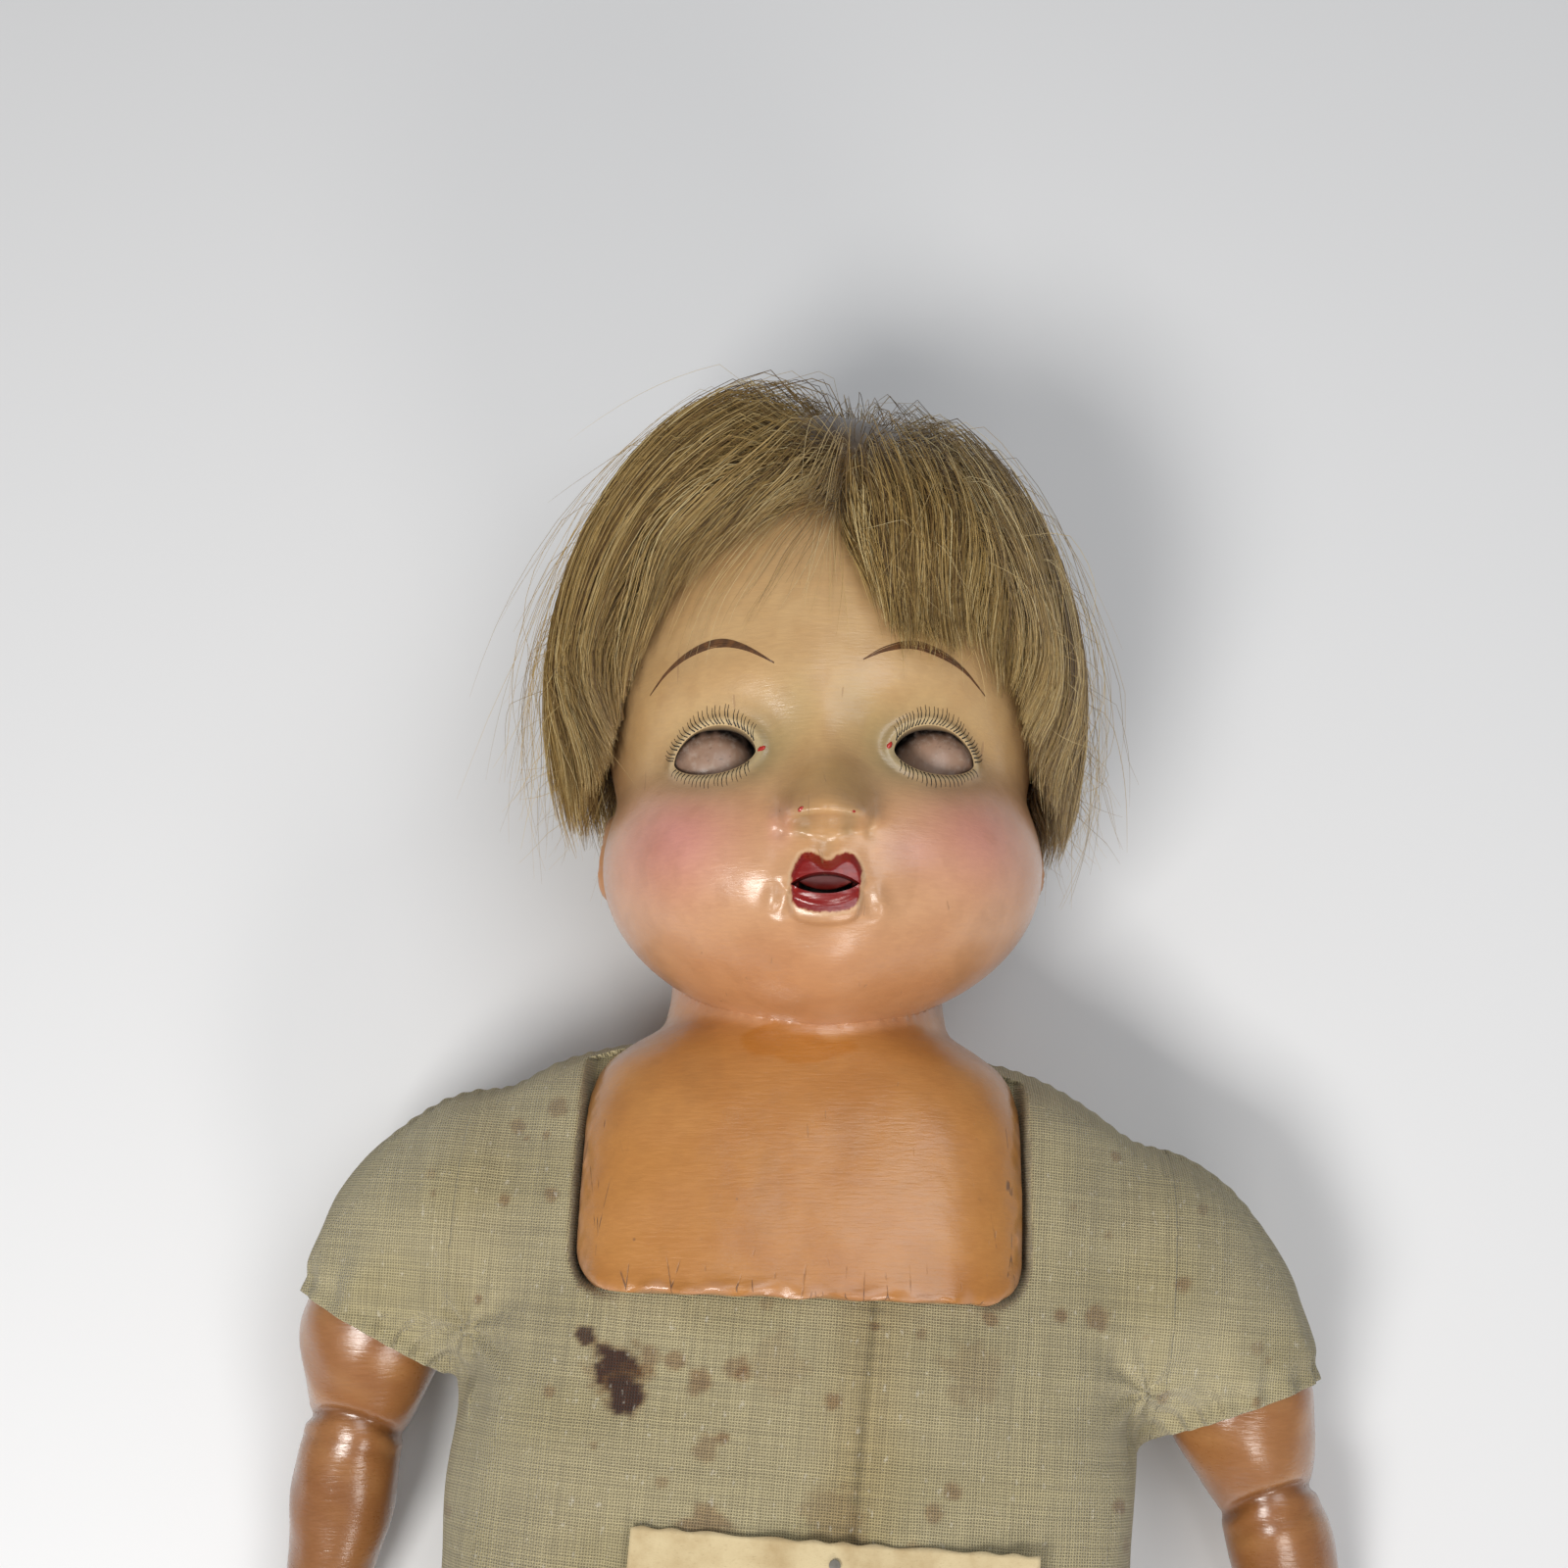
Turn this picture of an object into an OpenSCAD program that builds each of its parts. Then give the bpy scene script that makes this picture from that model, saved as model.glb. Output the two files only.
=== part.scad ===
// Ventriloquist doll of wood-pulp composition, lying on its back.
// Frame: +X is the doll's left, +Y runs to the crown, +Z is out of the face, and the doll rests on z = 0.
// The origin is the middle of the flat of the cloth back. The head looks straight along +Z, and the cloth
// body lies a few degrees askew under the shoulder plate.

/* [Head] */
// Half width of the skull
skull_rx = 71; // [66:0.5:74]
// Wall of the pressed composition head and shoulder plate
head_wall = 4.5; // [4:0.5:5.5]
// Half distance between the eyes
eye_x = 33; // [32:0.5:34]
// Radius of the sleeping eyes
eye_r = 15; // [14:0.5:15]
// Width of the mouth slot
mouth_w = 19; // [15:0.5:20]

/* [Body] */
// Half width of the cloth body
torso_half_w = 106; // [100:1:107]
// Turn of the cloth body under the plate, in degrees
body_turn = -5; // [-6:1:6]
// Thickness of the cotton cloth
cloth = 1.2; // [1:0.1:1.6]

/* [Limbs] */
// Outward lean of the right arm, in degrees
right_lean = 7; // [6:1:12]
// Outward lean of the left arm, in degrees
left_lean = 22; // [12:1:24]
// Half distance between the legs
leg_x = 46; // [44:1:48]
// Radius of the wire ties that bind cloth to limb
tie_r = 1; // [0.8:0.1:1.2]

/* [Fittings] */
// Bore radius of the brass eyelet for the mouth cord
eyelet_bore_r = 2.5; // [2:0.25:3]
// Diameter of the wire that carries the eyes
eye_wire_d = 2.4; // [2:0.2:3]

/* [Hidden] */

skin = "sandybrown";
linen = "darkkhaki";
wadding = "ivory";
iron = "dimgray";

big = 900;                     // reach of a cutting block
gap = 0.3;                     // room between neighbours that don't move
run_gap = 0.5;                 // room where one body moves past another
seam_z = 78;                   // plane of the seam between the two pressings of the head

// Head: a star-shaped skin round head_c, made of a skull and a jowl that melt together
head_c = [0, 200, 85];
skull_c = [0, 236, 84];
skull_r = [skull_rx, 83, 74];
jowl_c = [0, 174, 98];
jowl_r = [70, 55, 57];
melt = 9;                      // how softly the two run together
crown_y = 287;                 // the crown is cut off here for the pate
eye_y = 205;
eye_z = 124;
eye_opening = [24.6, 14];      // width and height of the eye openings
mouth_y = 162;
mouth_h = 6;
flap_y = 169;                  // pivot of the mouth flap
flap_z = 138.5;
flap_r = 13.6;

// Relief on the head: [x, y, height, spread in x, spread in y], mirrored where x isn't 0
relief = [
  [0, 184, 13.5, 6.4, 6.4],    // tip of the nose
  [0, 195, 3.5, 6.0, 9.0],     // bridge
  [8.5, 181, 4.0, 3.6, 3.8],   // wings of the nose
  [0, 160, 4.5, 15, 10],       // the mouth stands forward
  [5, 167, 2.2, 4.5, 2.6],     // upper lip
  [0, 153, 2.6, 8, 3.0],       // lower lip
  [0, 133, 6.0, 14, 11],       // chin
  [40, 172, 3.0, 15, 15],      // cheeks
  [33, 205, -3.0, 14, 9]       // eye hollows
];
ear = [190, 76, 9, 13, 7];     // y, z, height, spread in y, spread in z

// Neck and plate: y, half width, lowest z, highest z, squareness
plate_keys = [
  [152, 44.0, 24, 106, 2.0], [138, 44.5, 24, 106, 2.0], [131, 47, 22, 107, 2.1], [125, 56, 15, 109, 2.4],
  [118, 64, 8, 111, 3.0], [108, 67.5, 5, 113.5, 3.6], [84, 70, 3, 117, 4], [44, 70, 2, 120, 4]
];
plate_x = -5;                  // the neck and plate sit a little to the right of the face
plate_turn = -2;
plate_half = 66.5;
plate_ys = [152, 138, 131, 127, 123, 118, 110, 96, 44];
plate_front_y = 48;            // lower edge of the front plate
plate_back_y = 54;             // lower edge of the back plate
plate_corner = 13;
nape = [-5, 143, 24];          // where the cord leaves the neck

// Body: y, half width, lowest z, highest z, squareness, in the turned body frame
turn_c = [0, 100];
torso_keys = [
  [126, 58, 32, 84, 2.2], [122, 70, 24, 92, 2.3], [116, 84, 19, 98, 2.4], [106, 98, 15, 103, 2.5],
  [90, 103, 11, 108, 2.5], [54, 104, 9, 112, 2.6], [44, 104, 0, 114, 2.5], [0, torso_half_w, -1, 115, 2.5],
  [-60, torso_half_w, -1, 114, 2.5], [-104, 0.97 * torso_half_w, 0, 104, 2.5],
  [-126, 0.9 * torso_half_w, 2, 80, 2.5]
];
joint_x = 110;                 // plane of the shoulder joints
shoulder = [joint_x, 64, 56];
hip = [leg_x, -136, 36];
hip_r = 31;

// Sleeve: centre of the ring, turn of the ring, half height, half depth
sleeve_path = [
  [110, 64, 56, 0, 42, 38], [121, 60, 55, 16, 37, 35], [131, 50, 53, 38, 31.4, 31],
  [135.5, 38, 50, 56, 29.2, 28.5], [137, 27, 48, 66, 28.5, 29]
];
ball = [136, 37, 48];          // centre of the upper end of the arm
ball_r = 23;
ball_room = 4.5;               // between the ball and the stuffing of the sleeve

// Arm below its ball, hanging along -y: distance down, shift in z, half width, half depth
arm_keys = [
  [0, 0, 22.5, 22.5], [10, -1, 23.5, 23], [22, -4, 21, 21], [32, -8, 17.8, 18.5], [39, -11, 15.2, 16.5],
  [44, -12, 15.8, 17], [56, -16, 17, 17], [72, -22, 16, 15], [90, -28, 13, 12.5], [102, -31.5, 11.5, 11],
  [114, -35, 14.5, 10.5], [128, -37.5, 16.5, 9.5], [140, -39, 15, 8]
];
arm_ds = [0, 10, 22, 32, 39, 44, 56, 74, 90, 102, 114, 128, 140];

// Leg below the hip, along -y: distance down, middle z, half width, half depth
thigh_keys = [
  [0, 36, 38, 31], [20, 38, 41, 35], [50, 39, 39.5, 37], [76, 37.6, 37, 36.4], [90, 37, 36.2, 35.8]
];
leg_keys = [
  [74, 37, 27, 26.5], [84, 37, 33, 32.5], [100, 37, 34.5, 34], [122, 35, 33.5, 34], [132, 34, 31, 32],
  [150, 34, 33, 33], [180, 33, 31, 31.5], [210, 30, 25.5, 27], [234, 28, 21, 24], [250, 27, 21, 25],
  [262, 27, 22, 26], [272, 27, 20, 23], [277, 27, 13, 15]
];
leg_ds = [74, 80, 88, 104, 122, 132, 144, 168, 200, 234, 258, 272, 277];

// ---------------------------------------------------------------- helpers

// Makes one mesh of a group of freeform skins
module as_mesh() resize([0, 0, 0]) children();

// Hermite curve through rows of keys, read at x in the first column
function slope(k, i, c) =
  let (a = max(i - 1, 0), b = min(i + 1, len(k) - 1)) (k[b][c] - k[a][c]) / (k[b][0] - k[a][0]);
function segment(k, x, i = 0) =
  i >= len(k) - 2 ? len(k) - 2 : ((x - k[i][0]) * (x - k[i + 1][0]) <= 0 ? i : segment(k, x, i + 1));
function curve(k, x, c) =
  let (
    i = segment(k, x), w = k[i + 1][0] - k[i][0], t = (x - k[i][0]) / w,
    h1 = 2 * t * t * t - 3 * t * t + 1, h2 = t * t * t - 2 * t * t + t,
    h3 = 3 * t * t - 2 * t * t * t, h4 = t * t * t - t * t
  ) h1 * k[i][c] + h2 * w * slope(k, i, c) + h3 * k[i + 1][c] + h4 * w * slope(k, i + 1, c);

function power(v, e) = sign(v) * pow(abs(v), 2 / e);

// Closed skin through rings of points, each ring with the same count
module skin_of(rings) {
  n = len(rings[0]);
  m = len(rings);
  points = [for (r = rings) for (p = r) p];
  sides = [
    for (j = [0:m - 2]) for (i = [0:n - 1])
      let (a = j * n + i, b = j * n + (i + 1) % n, c = b + n, d = a + n)
        each [[a, b, c], [a, c, d]]
  ];
  ends = [[for (i = [n - 1:-1:0]) i], [for (i = [0:n - 1]) (m - 1) * n + i]];
  polyhedron(points = points, faces = concat(sides, ends));
}

// Ring of a tube that runs along -y
function y_ring(x, y, z, a, b, e, n) =
  [for (i = [0:n - 1]) let (t = 360 * i / n) [x + a * power(cos(t), e), y, z - b * power(sin(t), e)]];

// Tube from keys of y, half width, lowest z, highest z, squareness; grow offsets it
module y_tube(keys, ys, n, grow = 0) {
  skin_of([
    for (y = ys)
      let (a = curve(keys, y, 1), lo = curve(keys, y, 2), hi = curve(keys, y, 3), e = curve(keys, y, 4))
        y_ring(0, y, (lo + hi) / 2, a + grow, (hi - lo) / 2 + grow, e, n)
  ]);
}

// Limb from keys of distance, middle z, half width, half depth, hanging along -y from top
module limb(keys, ds, top, n, grow = 0) {
  skin_of([
    for (d = ds)
      let (z = curve(keys, d, 1), a = curve(keys, d, 2), b = curve(keys, d, 3))
        y_ring(top[0], top[1] - d, top[2] + z, a + grow, b + grow, 2, n)
  ]);
}

module side(s) mirror([s < 0 ? 1 : 0, 0, 0]) children();
module turned(centre, angle) translate(centre) rotate(angle) translate(-centre) children();
module body_frame() turned([turn_c[0], turn_c[1], 0], body_turn) children();

// Cutting blocks on one side of a plane
module above(z) translate([-big / 2, -big / 2, z]) cube(big);
module below(z) translate([-big / 2, -big / 2, z - big]) cube(big);
module past_x(x) translate([x, -big / 2, -big / 2]) cube(big);
module past_y(y) translate([-big / 2, y, -big / 2]) cube(big);
module before_y(y) translate([-big / 2, y - big, -big / 2]) cube(big);

// ---------------------------------------------------------------- head skin

// Distance from head_c along the unit vector n to an ellipsoid
function reach(n, c, r) =
  let (
    o = [for (i = [0:2]) (head_c[i] - c[i]) / r[i]], d = [for (i = [0:2]) n[i] / r[i]],
    a = d * d, b = o * d, k = o * o - 1
  ) (-b + sqrt(b * b - a * k)) / a;
function soft_max(a, b) = (a + b + sqrt((a - b) * (a - b) + melt * melt)) / 2 - melt / 6;
function bump(v, s) = exp(-v * v / (2 * s * s));
function front_share(z) = 1 / (1 + exp(-(z - 104) / 5));
function relief_at(p) =
  let (
    forms = [for (q = relief) q[2] * bump(abs(p[0]) - q[0], q[3]) * bump(p[1] - q[1], q[4])],
    on_ear = ear[2] * bump(p[1] - ear[0], ear[3] / 2) * bump(p[2] - ear[1], ear[4] / 2)
  ) front_share(p[2]) * forms * [for (q = relief) 1] + (abs(p[0]) > skull_rx / 2 ? on_ear : 0);
function head_point(n, grow) =
  let (r0 = soft_max(reach(n, skull_c, skull_r), reach(n, jowl_c, jowl_r)), p = head_c + r0 * n)
    head_c + (r0 + relief_at(p) + grow) * n;

// The pole of the rings is +z, between the eyes; rings lie closer together over the face
head_rings = 22;
head_sides = 36;
inner_rings = 12;
scalp_sides = 28;
module head_skin(grow, rings, n) {
  levels = [for (i = [1:rings - 1]) 180 * pow(i / rings, 1.25)];
  skin_of([
    for (a = levels) [
      for (i = [0:n - 1]) let (t = 360 * i / n) head_point([sin(a) * cos(t), sin(a) * sin(t), cos(a)], grow)
    ]
  ]);
}

module plate_tube(grow) {
  y_tube(plate_keys, grow < 0 ? [152, 134, 125, 118, 108, 84, 44] : plate_ys, grow < 0 ? 24 : 32, grow);
}

// The plate's two flaps stop short of the sides, so that the cloth shoulders pass between them
module flap_cutter(grow) {
  difference() {
    before_y(118 - grow);
    translate([0, 0, 84 - grow]) rounded_flap(plate_half + grow, plate_front_y - grow);
    translate([0, 0, 34 + grow - big]) rounded_flap(plate_half + grow, plate_back_y - grow);
  }
}
module rounded_flap(half, low) linear_extrude(big) hull() {
  for (s = [-1, 1])
    translate([s * (half - plate_corner), low + plate_corner]) circle(plate_corner, $fn = 20);
  translate([-half, low + 60]) square([2 * half, 150]);
}
module plate_frame() translate([plate_x, 0, 0]) turned([0, 131, 0], plate_turn) children();

// Wall of the neck and shoulder plate, between the outer skin and the inner one
module plate_wall(grow) {
  plate_frame() difference() {
    plate_tube(grow);
    plate_tube(-head_wall - grow);
    flap_cutter(grow);
  }
}

module eye_opening_prism() {
  for (s = [-1, 1])
    translate([s * eye_x, eye_y, eye_z]) linear_extrude(60) scale(eye_opening / 2) circle(1, $fn = 24);
}
module mouth_prism() {
  translate([0, mouth_y, flap_z]) linear_extrude(60) scale([mouth_w, mouth_h] / 2) circle(1, $fn = 20);
}

// The whole head casting, before it is parted at the seam
module head_casting() {
  difference() {
    union() {
      head_skin(0, head_rings, head_sides);
      plate_frame() difference() {
        plate_tube(0);
        flap_cutter(0);
      }
    }
    head_skin(-head_wall, inner_rings, 20);
    plate_frame() plate_tube(-head_wall);
    eye_opening_prism();
    mouth_prism();
    for (s = [-1, 1]) translate([s * eye_x, eye_y, eye_z]) sphere(eye_r + 1.6, $fn = 20);
    translate([-11.5, flap_y, flap_z]) rotate([0, 90, 0]) cylinder(23, r = flap_r + 1.1, $fn = 24);
    past_y(crown_y);
    translate([nape[0], nape[1], -5]) cylinder(60, r = eyelet_bore_r + 1.7, $fn = 24);
  }
}

module head_front() color(skin) as_mesh() intersection() {
  head_casting();
  above(seam_z);
}

module head_back() color(skin) as_mesh() intersection() {
  head_casting();
  below(seam_z);
}

module crown_pate() color("tan") as_mesh() difference() {
  head_skin(-1.2, inner_rings, scalp_sides);
  head_skin(-3.7, inner_rings, scalp_sides);
  before_y(crown_y + gap);
}

// Block that clears the face and the nape, so that what is left covers the scalp
module face_block(low_y, fringe_y, front_z) {
  before_y(low_y);
  translate([-big / 2, fringe_y - big, front_z]) cube(big);
}

module wig_cap() color("wheat") as_mesh() difference() {
  head_skin(1.4, head_rings, head_sides);
  head_skin(0.5, head_rings, head_sides);
  face_block(215, 262, 112);
}

module wig_hair() color("goldenrod") as_mesh() difference() {
  intersection() {
    translate([-2, 236, 86]) scale([89, 107, 86]) sphere(1, $fn = 28);
    above(0);
  }
  head_skin(5.2, inner_rings, scalp_sides);
  face_block(172, 240, 108);
}

// ---------------------------------------------------------------- sleeping eyes

module x_rod(from, length, d, sides = 32) {
  translate(from) rotate([0, 90, 0]) cylinder(length, d = d, $fn = sides);
}

// Plaster pad behind the bridge of the nose, one beside each eye, that carries the eye wire
bearing_x = 12.5;
module eye_bearing(s) color("whitesmoke") difference() {
  translate([s * bearing_x - 2.5, eye_y - 6, eye_z - 7]) cube([5, 12, 25]);
  x_rod([s * bearing_x - 5, eye_y, eye_z], 10, eye_wire_d + 0.12);
}

eye_axis_gap = 0.6;            // room between ball and lid shell
ball_radius = eye_r - eye_axis_gap - 0.8;
module at_eye(s) translate([s * eye_x, eye_y, eye_z]) children();
module eyeball(s) color("white") at_eye(s) difference() {
  rotate([iris_tilt, 0, 0]) rotate(90) rotate_extrude($fn = 64) difference() {
    intersection() {
      circle(ball_radius, $fn = 64);
      translate([0, -eye_r]) square([eye_r, 2 * eye_r]);
    }
    translate([0, iris_face]) square([iris_r, eye_r]);
  }
  x_rod([-2 * eye_r, 0, 0], 4 * eye_r, eye_wire_d);
}
iris_tilt = 58;                // the iris looks this far below the opening when the doll lies down
iris_r = 6.2;
iris_face = 11.2;
module iris(s) color("steelblue") at_eye(s) rotate([iris_tilt, 0, 0]) intersection() {
  sphere(ball_radius - 0.1, $fn = 64);
  translate([0, 0, iris_face]) cylinder(10, r = iris_r - 0.1, $fn = 48);
}
// Lid shell over the half of the ball that the opening shows when the doll lies down
module eyelid(s) color("rosybrown") at_eye(s) difference() {
  sphere(eye_r, $fn = 64);
  sphere(eye_r - lid_wall, $fn = 64);
  rotate([lid_edge, 0, 0]) translate([-20, -40, -20]) cube([40, 40, 40]);
  translate([-20, -20, -40]) cube([40, 40, 38]);
  x_rod([-2 * eye_r, 0, 0], 4 * eye_r, eye_wire_d + 0.8);
}
lid_wall = 0.9;
lid_edge = 34;                 // lower edge of the lid shell, below the middle of the opening

// Steel wire through both balls, and the arm that carries the weight
eye_wire_half = 47;
module eye_rocker() color(iron) {
  x_rod([-eye_wire_half, eye_y, eye_z], 2 * eye_wire_half, eye_wire_d - 0.02);
  translate([0, eye_y, eye_z - weight_drop]) cylinder(weight_drop, d = eye_wire_d, $fn = 32);
}
weight_drop = 54;              // from the eye wire to the middle of the weight
module eye_weight() color("gray") translate([0, eye_y, eye_z - weight_drop]) difference() {
  rotate([0, 90, 0]) cylinder(20, r = 8, center = true, $fn = 48);
  cylinder(20, d = eye_wire_d, $fn = 32);
}

// ---------------------------------------------------------------- moving mouth

// Curved flap behind the lips, with a rounded lower edge like a tongue
axle_d = 2;
module mouth_flap() color("firebrick") difference() {
  intersection() {
    x_rod([-9.2, flap_y, flap_z], 18.4, 2 * flap_r, 64);
    translate([-10, flap_y - 20, flap_z - 2]) cube([20, 26, 20]);
    translate([0, flap_y + 5.8, flap_z - 5]) cylinder(30, r = 14.6, $fn = 64);
  }
  x_rod([-7.6, flap_y, flap_z], 15.2, 2 * flap_r - 3.2, 64);
  x_rod([-12, flap_y, flap_z], 24, axle_d);
}
axle_half = 14.5;
module mouth_axle() color(iron) x_rod([-axle_half, flap_y, flap_z], 2 * axle_half, axle_d - 0.02);

// Strip of tin across the inside of the face, with an ear at each end of the axle
ear_x = 11.6;
strip_half = 55.3;              // it ends at the inside of the cheeks
module mouth_bracket() color("silver") difference() {
  union() {
    for (s = [-1, 1]) translate([s * ear_x - 0.6, flap_y - 4, flap_z - 15]) cube([1.2, 8, 18]);
    translate([-strip_half, flap_y - 4, flap_z - 16]) cube([2 * strip_half, 8, 1.2]);
  }
  x_rod([-40, flap_y, flap_z], 80, axle_d + 0.1);
  translate([lever_x - 1.5, flap_y - 5, flap_z - 20]) cube([3, 7.2, 6]);
}

// Arm that the cord pulls, fast on the end of the axle
lever_x = 13.6;
lever_len = 24;
module mouth_lever() color(iron) translate([lever_x - 0.8, flap_y, flap_z]) difference() {
  union() {
    x_rod([0, 0, 0], 1.6, 6);
    translate([0, -1.5, -lever_len]) cube([1.6, 3, lever_len]);
    x_rod([0, 0, -lever_len], 1.6, 5.2);
  }
  x_rod([-2, 0, 0], 5, axle_d);
  x_rod([-2, 0, -lever_len], 5, 1.6);
}

// Return spring wound on the axle
spring_turns = 4;
spring_wire = 0.5;
spring_r = 1.9;
spring_pitch = 1.5;
module mouth_spring() color("slategray") {
  path = [
    for (i = [0:spring_turns * 10]) let (t = 36 * i)
      [-6 + spring_pitch * t / 360, spring_r * cos(t), spring_r * sin(t)]
  ];
  translate([0, flap_y, flap_z]) skin_of([
    for (i = [0:len(path) - 1])
      let (
        t = 36 * i, radial = [0, cos(t), sin(t)], along = [1, 0, 0]
      ) [for (j = [0:3]) path[i] + spring_wire / 2 * (cos(-90 * j) * radial + sin(-90 * j) * along)]
  ]);
}

// Brass eyelet in the nape, where the mouth cord comes out
module cord_eyelet() color("gold") translate(nape) {
  difference() {
    union() {
      translate([0, 0, -1.2]) cylinder(1, r = eyelet_bore_r + 2.6, $fn = 48);
      translate([0, 0, -0.4]) cylinder(9, r = eyelet_bore_r + 1.2, $fn = 48);
    }
    translate([0, 0, -3]) cylinder(20, r = eyelet_bore_r, $fn = 48);
  }
}

// ---------------------------------------------------------------- cloth body

torso_ys = [126, 116, 102, 78, 54, 44, 10, -40, -80, -104, -126];
module torso_block(grow) {
  y_tube(torso_keys, torso_ys, grow < 0 ? 20 : 28, grow);
  for (s = [-1, 1]) side(s) skin_of([
    for (k = [[40, 32, 28], [85, 41, 34], [joint_x - run_gap / 2, 42, 38]])
      [
        for (i = [0:17]) let (t = -20 * i)
          [k[0], shoulder[1] + (k[1] + grow) * cos(t), shoulder[2] + (k[2] + grow) * sin(t)]
      ]
  ]);
}

// Room for the rounded tops of the thighs and for the thighs themselves when they swing forward
hip_gap = 1;
module hip_room(grow) {
  x_rod([-big / 2, hip[1], hip[2]], big, 2 * (hip_r + hip_gap + grow), 36);
  before_y(hip[1] + 14 + grow);
  translate([-big / 2, hip[1], hip[2]]) multmatrix([[1, 0, 0, 0], [0, 1, 0.3, 0], [0, 0, 1, 0]])
    translate([0, -big, 0]) cube([big, big + hip_r + hip_gap + grow, big]);
}

module torso_limits(grow) {
  half = joint_x - run_gap / 2 - grow;
  intersection() {
    children();
    translate([-half, -big / 2, grow]) cube([2 * half, big, big]);
  }
}

module torso_cloth() color(linen) as_mesh() difference() {
  body_frame() difference() {
    torso_limits(0) torso_block(0);
    hip_room(0);
    torso_limits(cloth) difference() {
      torso_block(-cloth);
      hip_room(cloth);
    }
  }
  plate_wall(gap);
}

module torso_stuffing() color(wadding) as_mesh() difference() {
  body_frame() torso_limits(cloth + gap) difference() {
    torso_block(-cloth - gap);
    hip_room(cloth + gap);
  }
  plate_wall(gap + 1);
}

// Paper label on the front of the body, bowed with it
label_w = 116;
label_h = 74;
label_c = [13, -54.7, 116.2];      // its middle, and the height of its under side at x 0
label_bow = 330;               // radius of its bow
pin_y = -23.7;
pin_d = 1;
module paper_label() color("antiquewhite") body_frame() {
  translate([0, label_c[1], label_c[2] - label_bow]) intersection() {
    rotate([90, 0, 0]) difference() {
      cylinder(label_h, r = label_bow + 0.4, center = true, $fn = 128);
      cylinder(label_h + 2, r = label_bow, center = true, $fn = 128);
    }
    translate([label_c[0] - label_w / 2, -label_h / 2, label_bow / 2]) cube([label_w, label_h, label_bow]);
    translate([label_c[0], pin_y - label_c[1], 0]) difference() {
      above(0);
      cylinder(big, d = pin_d + 0.1, $fn = 24);
    }
  }
}
label_dip = label_bow - sqrt(pow(label_bow, 2) - pow(label_c[0], 2));    // at the pin
module label_pin() color("silver") body_frame() translate([label_c[0], pin_y, label_c[2] - label_dip]) {
  translate([0, 0, -0.6]) cylinder(1.4, d = pin_d, $fn = 24);
  translate([0, 0, 0.5]) cylinder(0.6, r = 1.6, $fn = 32);
}

// ---------------------------------------------------------------- arms

module sleeve_block(grow, last) {
  intersection() {
    skin_of([
      for (j = [0:0.5:last])
        let (
          i = floor(j), f = j - i, p = sleeve_path[i], q = sleeve_path[min(i + 1, len(sleeve_path) - 1)],
          k = p + f * (q - p), a = k[3]
        ) [for (w = [0:23]) let (t = -15 * w, u = (k[4] + grow) * cos(t), v = (k[5] + grow) * sin(t))
            [k[0] + u * sin(a), k[1] + u * cos(a), k[2] + v]]
    ]);
    past_x(joint_x + run_gap / 2 - grow);
  }
}

module sleeve(s) color(linen) body_frame() side(s) as_mesh() difference() {
  sleeve_block(0, 4);
  intersection() {
    sleeve_block(-cloth, 4);
    past_x(joint_x + run_gap / 2 + cloth);
  }
  translate([sleeve_path[4][0], sleeve_path[4][1], 0]) rotate(-sleeve_path[4][3]) translate([-2, -60, 0])
    cube([60, 120, 120]);
}

module sleeve_stuffing(s) color(wadding) body_frame() side(s) as_mesh() difference() {
  sleeve_block(-cloth - gap, 3);
  translate(ball) sphere(ball_r + ball_room, $fn = 18);
  mirror([1, 0, 0]) past_x(-joint_x - run_gap / 2 - cloth - gap);
  translate(ball) rotate(-50) translate([-4, -80, -80]) cube([90, 160, 160]);
}

// Puts the arm's own frame, with its ball at the origin and the arm along -y, on its shoulder
module arm_frame(s, lean) body_frame() side(s) translate(ball) rotate([0, 0, lean]) children();

finger_x = [-11, -3.8, 3.6, 10.6];
finger_len = [15, 20, 19, 13];
module hand() {
  for (i = [0:3]) hull() {
    translate([finger_x[i], -137, -39.5]) sphere(4.6, $fn = 8);
    translate([finger_x[i] * 1.15, -138 - finger_len[i], -37]) sphere(3.8, $fn = 8);
  }
  hull() {
    translate([-10, -116, -34]) sphere(5.5, $fn = 8);
    translate([-19.5, -131, -30]) sphere(4.4, $fn = 8);
  }
}
module tie_ring(r, tube, n = 64, m = 24) {
  rotate([90, 0, 0]) rotate_extrude($fn = n) translate([r, 0]) circle(tube, $fn = m);
}
arm_tie_y = 9;                 // height of the tie's groove above the ball's middle
arm_tie_r = 21;
module arm(s, lean) color(skin) arm_frame(s, lean) as_mesh() difference() {
  union() {
    limb(arm_keys, arm_ds, [0, 0, 0], 18);
    sphere(ball_r, $fn = 18);
    hand();
  }
  translate([0, arm_tie_y, 0]) tie_ring(arm_tie_r, tie_groove, 18, 13);
}
module arm_tie(s, lean) color(iron) arm_frame(s, lean) {
  translate([0, arm_tie_y, 0]) tie_ring(arm_tie_r, tie_r);
}

// ---------------------------------------------------------------- legs

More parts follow.
